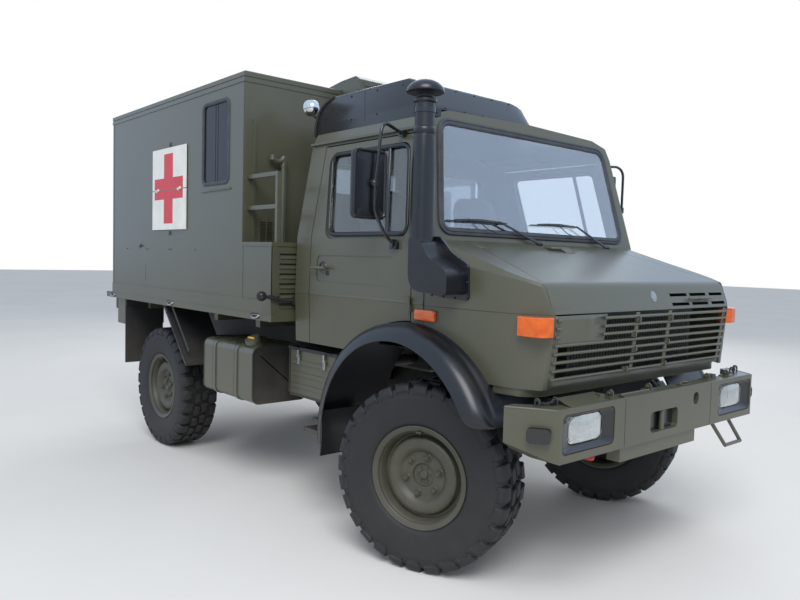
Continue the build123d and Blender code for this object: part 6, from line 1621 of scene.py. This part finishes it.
def pipedEdge(shape, radius, height):
    # sewn piping round the pad at one height: the outline of the nearest points, swept round
    points = shape[0]
    near = points[np.abs(points[:, 2] - height) < 9]
    centre = near.mean(0)
    angle = np.arctan2(near[:, 1] - centre[1], near[:, 0] - centre[0])
    order = np.argsort(angle)
    turn = np.linspace(-pi, pi, 61)[:-1]
    reach = np.interp(turn, angle[order], np.hypot(*(near[order, :2] - centre[:2]).T), period=tau)
    loop = np.stack([centre[0] + reach * np.cos(turn), centre[1] + reach * np.sin(turn),
                     np.full(60, height)], -1)
    return swept(loop, ringProfile(radius, 8), closed=True)


def seatShape(y):
    # a channelled cushion and a back that leans, turned about its own middle
    s = seat
    cushion = paddedBlock((s["rear"] + 4, y - s["half"], s["low"] + 4),
                          (s["front"], y + s["half"], s["high"]), 0.35, 0.03)
    cushion = channelled(cushion, 0, [s["rear"] + 150, s["rear"] + 260, s["rear"] + 370], 9, 9)
    length = s["backTop"] - s["high"] - 6
    back = paddedBlock((-length / 2, -s["half"] + 14, -52), (length / 2, s["half"] - 14, 52), 0.3, 0.04)
    back = channelled(back, 0, [-170, -60, 50, 160], 9, 9)
    lean = np.array([-90, 0, 600]) / np.hypot(90, 600)
    front = np.array([lean[2], 0, -lean[0]])
    middle = np.array([s["rear"] - 2, y, s["high"] + 4 + length / 2])
    back = (back[0] @ np.array([lean, [0, 1, 0], front]) + middle, back[1])
    return cushion, back


def seatFrame(y):
    s = seat
    # pedestal: rings given by rear and front offset, side inset and height
    rings = [(50, 96, 20, s["pedestalLow"]), (44, 88, 14, s["pedestalLow"] + 10), (44, 88, 14, 1300),
             (30, 60, 8, 1330), (30, 60, 8, 1400), (40, 70, 20, 1422)]
    base = blendedSurface([
        np.c_[roundedRect(s["rear"] + x0, y - s["half"] + i, s["front"] - x1, y + s["half"] - i, 22, 5),
              np.full(24, z)] for x0, x1, i, z in rings])
    ribs = [tube([(s["rear"] + 60, y + d, z), (s["front"] - 100, y + d, z)], 9, 10, 12)
            for d in (-s["half"] + 12, s["half"] - 12) for z in (1230, 1268)]
    lever = tube([(s["front"] - 60, y - 150, 1410), (s["front"] - 16, y - 150, 1404),
                  (s["front"] - 6, y - 60, 1404)], 6, 18, 10)
    return joined(base, *ribs, lever)


for side, y in seat["places"].items():
    for part, shape in zip(("Cushion", "Back"), seatShape(y)):
        piece = addPiece(f"seat{part}.{side}", shape, seatCloth, sharp=70, subdivide=1,
                         stands=["cab_interior"] if side == "right" and part == "Cushion" else ())
    cushion = seatShape(y)[0]
    addPiece(f"seatPiping.{side}", pipedEdge(cushion, 4, seat["low"] + 62), seatCloth, sharp=70)
addPiece("seatFrames", joined(*[seatFrame(y) for y in seat["places"].values()]), blackCoat, bevel=1,
         sharp=40)

dash = {"half": 892, "outline": [(1703, 1500), (1703, 1752), (1660, 1766), (1600, 1764), (1500, 1724),
                                 (1452, 1694), (1448, 1672), (1470, 1640), (1486, 1500)], "dialY": 420}


def dashShape():
    # moulding from its side outline, hood over the dials, louvred vents, grab handle, glovebox lid
    body = prism(roundedLoop(dash["outline"], 14, 4), -dash["half"], dash["half"], "y")
    hood = [(1650, 1752), (1640, 1776), (1560, 1782), (1478, 1768), (1474, 1736), (1500, 1712)]
    cowl = prism(roundedLoop(hood, 14, 4), dash["dialY"] - 190, dash["dialY"] + 190, "y")
    vents = [slab((1452 + i * 13, y - 60, 1690 + i * 6), (1458 + i * 13, y + 60, 1700 + i * 6), "x", 0)
             for y in (-640, -250, 60, 760) for i in range(4)]
    handle = tube([(1500, -560, 1650), (1462, -560, 1655), (1462, -340, 1655), (1500, -340, 1650)], 8, 18, 12)
    glovebox = slab((1466, -640, 1540), (1474, -300, 1625), "x", 10)
    return joined(body, cowl, *vents, handle, glovebox)


def dialShape():
    # five dials with their rims, all turned about one direction, and a row of switches
    faces, rims = [], []
    way = np.array([-0.93, 0, 0.36])
    for dy, r in ((-118, 46), (0, 62), (118, 46), (-62, 20), (62, 20)):
        spot = (1480, dash["dialY"] + dy, 1742)
        faces.append(lathe([(0, 2), (r - 4, 2), (r - 4, -6)], spot, way, 32))
        rims.append(lathe([(r - 4, -6), (r - 4, 3), (r - 1, 5), (r + 1, 3), (r + 1, -6)], spot, way, 32))
    switches = [slab((1450, y - 14, 1660), (1456, y + 14, 1684), "x", 3) for y in np.arange(-180, 760, 46)]
    return joined(*faces), joined(*rims, *switches)


steering = {"hub": np.array([1325, 420, 1750.0]), "axis": np.array([-0.5, 0, 0.866]), "radius": 213,
            "rim": 12}


def steeringShape():
    # rim: hub + 11 axis + r (u cos t + v sin t); spokes, hub, column and stalks on the same axis
    w = steering
    t = np.linspace(0, tau, 72, endpoint=False)
    axes = turnAxes(w["axis"])
    circle = np.cos(t)[:, None] * axes[0] + np.sin(t)[:, None] * axes[1]
    loop = w["hub"] + w["axis"] * 11 + w["radius"] * circle
    rim = swept(loop, ringProfile(w["rim"], 14), closed=True, up=w["axis"])
    spokes = [swept([w["hub"] + w["axis"] * 4,
                     w["hub"] + w["axis"] * 9 + (w["radius"] - 6) * (cos(a) * axes[0] + sin(a) * axes[1])],
                    [(-17, -4), (17, -4), (14, 4), (-14, 4)], up=w["axis"]) for a in (pi / 2, -pi / 2, pi)]
    hub = lathe([(0, -10), (40, -10), (54, 0), (56, 12), (50, 20), (30, 24), (0, 25)], w["hub"], w["axis"],
                40)
    column = lathe([(24, -300), (28, -296), (28, -120), (38, -112), (38, -16), (30, -10), (24, -10)],
                   w["hub"], w["axis"], 28)
    stalks = [tube([w["hub"] - w["axis"] * 46, w["hub"] - w["axis"] * 40 + [0, s * 60, 0],
                    w["hub"] - w["axis"] * 26 + [0, s * 170, 14]], 6, 20, 10) for s in (-1, 1)]
    return joined(rim, *spokes, hub, column, *stalks)


def controlsShape():
    # gear and transfer levers with ball knobs, three pedals on their arms, rubber floor mat with ribs
    levers = []
    for x, y, top in ((1260, 120, 1560), (1220, 40, 1460), (1190, -20, 1440)):
        levers += [tube([(x + 60, y, 1170), (x + 40, y, 1300), (x, y, top)], 8, 40, 12),
                   lathe([(0, -20), (14, -18), (22, -8), (24, 4), (20, 15), (10, 22), (0, 24)],
                         (x, y, top + 16), segments=24),
                   lathe([(46, 0), (40, 14), (34, 20), (28, 34), (22, 40), (14, 60), (9, 62)],
                         (x + 60, y, 1166), segments=24)]
    pedals = [joined(slab((1492, y - 34, 1262), (1500, y + 34, 1342), "x", 8),
                     tube([(1508, y, 1300), (1600, y, 1420), (1640, y, 1540)], 9, 40, 10))
              for y in (260, 400, 540)]
    mats = [slab((790, y0, 1166), (1600, y1, 1174), "z", 20) for y0, y1 in ((-860, -40), (150, 860))]
    return joined(*levers, *pedals, *mats)


dialFaces, dialRims = dialShape()
addPiece("dashboard", dashShape(), dashMoulding, bevel=2)
addPiece("dialFaces", dialFaces, boardWhite, sharp=40)
addPiece("dialRims", joined(dialRims, controlsShape()), dashMoulding, sharp=40)
addPiece("steeringWheel", steeringShape(), dashMoulding, sharp=45)
print("cab inside done")

# Rear wall and doors: rubber seals, hinge leaves, pressed ribs, latch bars in their guides,
# grips, cover strips, gutter

rearWall = {"x": frontAxleX - 4175, "doorFar": 594, "low": 1366, "high": 2794, "hingeY": 604,
            "hingeX": frontAxleX - 4185, "hinges": (1500, 2080, 2660)}


def hingeLeaves(near, far, pair, single, knuckle):
    # of each hinge one bolted leaf with its half knuckle; places are distances from the hinge line
    r = rearWall
    x, y = r["x"], -r["hingeY"]
    return [joined(slab((x - 4, y + near, z - 45), (x, y + far, z + 45), "x", 14),
                   hexHeads([(x - 4, y + dy, z + dz) for dy, dz in ((pair, -26), (pair, 26), (single, 0))],
                            (-1, 0, 0), 7, 4),
                   lathe(knuckle, (r["hingeX"], y, z), segments=20)) for z in r["hinges"]]


def rearDoorShape():
    # rubber seal, pressed ribs, latch bar in its guides, grip and hinge leaves of one door
    r = rearWall
    x, barY = r["x"], -60
    flat = roundedRect(-r["doorFar"] + 14, r["low"] + 14, -17, r["high"] - 14, 30, 6)
    seal = swept(np.c_[np.full(len(flat), x - 0.5), flat],
                 [(-8, -2), (8, -2), (7, 3), (3, 6), (-3, 6), (-7, 3)], closed=True, up=(-1, 0, 0))
    ribs = [slab((x - 5, -520, z), (x, -110, z + 26), "x", 12) for z in (1470, 2640)]
    bar = joined(barrel((x - 30, barY, 1392), (x - 30, barY, 2768), 8, 2, 18),
                 *[joined(slab((x - 40, barY - 26, z - 16), (x, barY + 26, z + 16), "y", 6),
                          hexHeads([(x - 40, barY - 18, z), (x - 40, barY + 18, z)], (-1, 0, 0), 6, 4))
                   for z in (1440, 1760, 2240, 2700)])
    grip = joined(tube([(x - 30, barY, 1990), (x - 36, barY - 40, 1990), (x - 36, barY - 170, 1978)], 8, 22),
                  slab((x - 24, barY - 200, 1950), (x, barY - 150, 2000), "x", 10))
    leaves = hingeLeaves(12, 96, 40, 80, [(0, -46), (7, -46), (9, -43), (9, -2), (0, -2)])
    return seal, joined(*ribs, bar, grip, *leaves)


def rearWallShape():
    # fixed hinge leaves, cover strips and the gutter over the doors
    x = rearWall["x"]
    fixed = hingeLeaves(-84, -12, -52, -68, [(0, 2), (9, 2), (9, 43), (7, 46), (0, 46)])
    strips = [slab((x - 3, -1163, 1394), (x, -1130, 2880), "x", 1),
              slab((x - 3, -1163, 1310), (x, -2, 1340), "x", 1)]
    gutter = swept([(x - 1, -650, 2828), (x - 1, -1, 2828)], [(-2, -4), (16, -8), (18, -4), (4, 6), (-2, 6)],
                   up=(0, 0, 1))
    return joined(*fixed, *strips, gutter)


seal, fittings = rearDoorShape()
for side, turn in onSide.items():
    addPiece(f"rearDoorSeal.{side}", turn(seal), gasketRubber, f"rear_door_{side}", sharp=50)
    addPiece(f"rearDoorFittings.{side}", turn(fittings), olivePaint, f"rear_door_{side}",
             bevel=1)
addPiece("rearWallFittings", bothSides(rearWallShape()), olivePaint, bevel=1)
jawX = frontAxleX - 4302
pin = joined(barrel((jawX, 0, 820), (jawX, 0, 1010), 17, 4, 28),
             tube([(jawX, -44, 1018), (jawX, 0, 1040), (jawX, 44, 1018)], 7, 30, 12))
addPiece("towPin", pin, castIron, sharp=40)
print("rear done")

# Finishes of the CAD nodes that stay

slotFinish = {
    "body_paint": olivePaint, "frame_paint": frameEnamel, "wheel_paint": wheelPaint, "black_paint": blackCoat,
    "black_plastic": blackMoulding, "board_paint": boardWhite, "glass": tintedGlass, "lamp_glass": clearLens,
    "signal_lens": amberLens, "lamp_body": blackMoulding, "trim": dashMoulding, "iron": castIron,
    "tyre": tyreRubber, "mudguard_rubber": flapRubber, "gasket_rubber": gasketRubber}
nodeSlot = {part["node"]: part["material_slot"] for part in frame["record"]["subparts"]}
# the box windows get the opaque near-black pane: painted shade of the box inside
nodeFinish = {"box_windows": boxWindowShade, "cab_glass": screenGlass}
for node, item in frame["nodes"].items():
    item.data.materials.clear()
    item.data.materials.append(nodeFinish.get(node, slotFinish[nodeSlot[node]]))

# Floor, background, light and camera

floorMesh = bpy.data.meshes.new("studioFloor")
floorMesh.from_pydata([(-60, -60, 0), (60, -60, 0), (60, 60, 0), (-60, 60, 0)], [], [(0, 1, 2, 3)])
floor = bpy.data.objects.new("studioFloor", floorMesh)
bpy.context.scene.collection.objects.link(floor)
floorMesh.materials.append(finishOf("paleStudioFloor", dark="#E9E8E5", light="#EFEEEB", patchMm=3000,
                                    grainMm=30, bump=0.05, rough=0.8))
floorMesh.materials[0].node_tree.nodes["Principled BSDF"].inputs["Specular IOR Level"].default_value = 0.08

world = bpy.data.worlds.new("softStudio")
bpy.context.scene.world = world
world.use_nodes = True
tree = world.node_tree
# Camera and glass see white, mirrorings see a pale blue sky, everything else is lit by the soft dome
dome = tree.nodes["Background"]
dome.inputs["Color"].default_value = hexColour("#E9F1FC")
dome.inputs["Strength"].default_value = 0.62
seen = addNode(tree, "ShaderNodeBackground", {"Color": hexColour("#FFFFFF"), "Strength": 1.0})
sky = addNode(tree, "ShaderNodeBackground", {"Color": hexColour("#CBDFFA"), "Strength": 1.25})
ray = addNode(tree, "ShaderNodeLightPath")
either = addNode(tree, "ShaderNodeMath", {"operation": "MAXIMUM"},
                 {0: ray.outputs["Is Camera Ray"], 1: ray.outputs["Is Transmission Ray"]})
soft = addNode(tree, "ShaderNodeMixShader", None,
               {0: ray.outputs["Is Glossy Ray"], 1: dome.outputs[0], 2: sky.outputs[0]})
mix = addNode(tree, "ShaderNodeMixShader", None,
              {0: either.outputs[0], 1: soft.outputs[0], 2: seen.outputs[0]})
tree.links.new(mix.outputs[0], tree.nodes["World Output"].inputs["Surface"])

lamps = {"key": {"power": 900, "size": 6, "at": (7, -6, 9)},
         "fill": {"power": 350, "size": 7, "at": (-6, 8, 7)}}
for name, spec in lamps.items():
    light = bpy.data.lights.new(name, "AREA")
    light.energy, light.size = spec["power"], spec["size"]
    lamp = bpy.data.objects.new(name, light)
    lamp.location = spec["at"]
    lamp.rotation_euler = (Vector((0, 0, 1.2)) - Vector(spec["at"])).to_track_quat("-Z", "Y").to_euler()
    bpy.context.scene.collection.objects.link(lamp)

# Camera of the photograph: place, heading, tilt and roll solved from the vehicle's own sizes
view = {"place": (4.612, -3.657, 1.691), "heading": 2.427, "tilt": -0.057, "roll": 0.026, "lens": 32.7}
cameraData = bpy.data.cameras.new("photoCamera")
cameraData.lens, cameraData.sensor_width = view["lens"], 36
camera = bpy.data.objects.new("photoCamera", cameraData)
camera.location = view["place"]
ahead = Vector((cos(view["heading"]) * cos(view["tilt"]), sin(view["heading"]) * cos(view["tilt"]),
                sin(view["tilt"])))
level = ahead.to_track_quat("-Z", "Y").to_matrix()
camera.rotation_euler = (level @ Matrix.Rotation(view["roll"], 3, "Z")).to_euler()
bpy.context.scene.collection.objects.link(camera)
bpy.context.scene.camera = camera
bpy.context.scene.view_settings.view_transform = "Standard"
print("stage, light and camera ready")
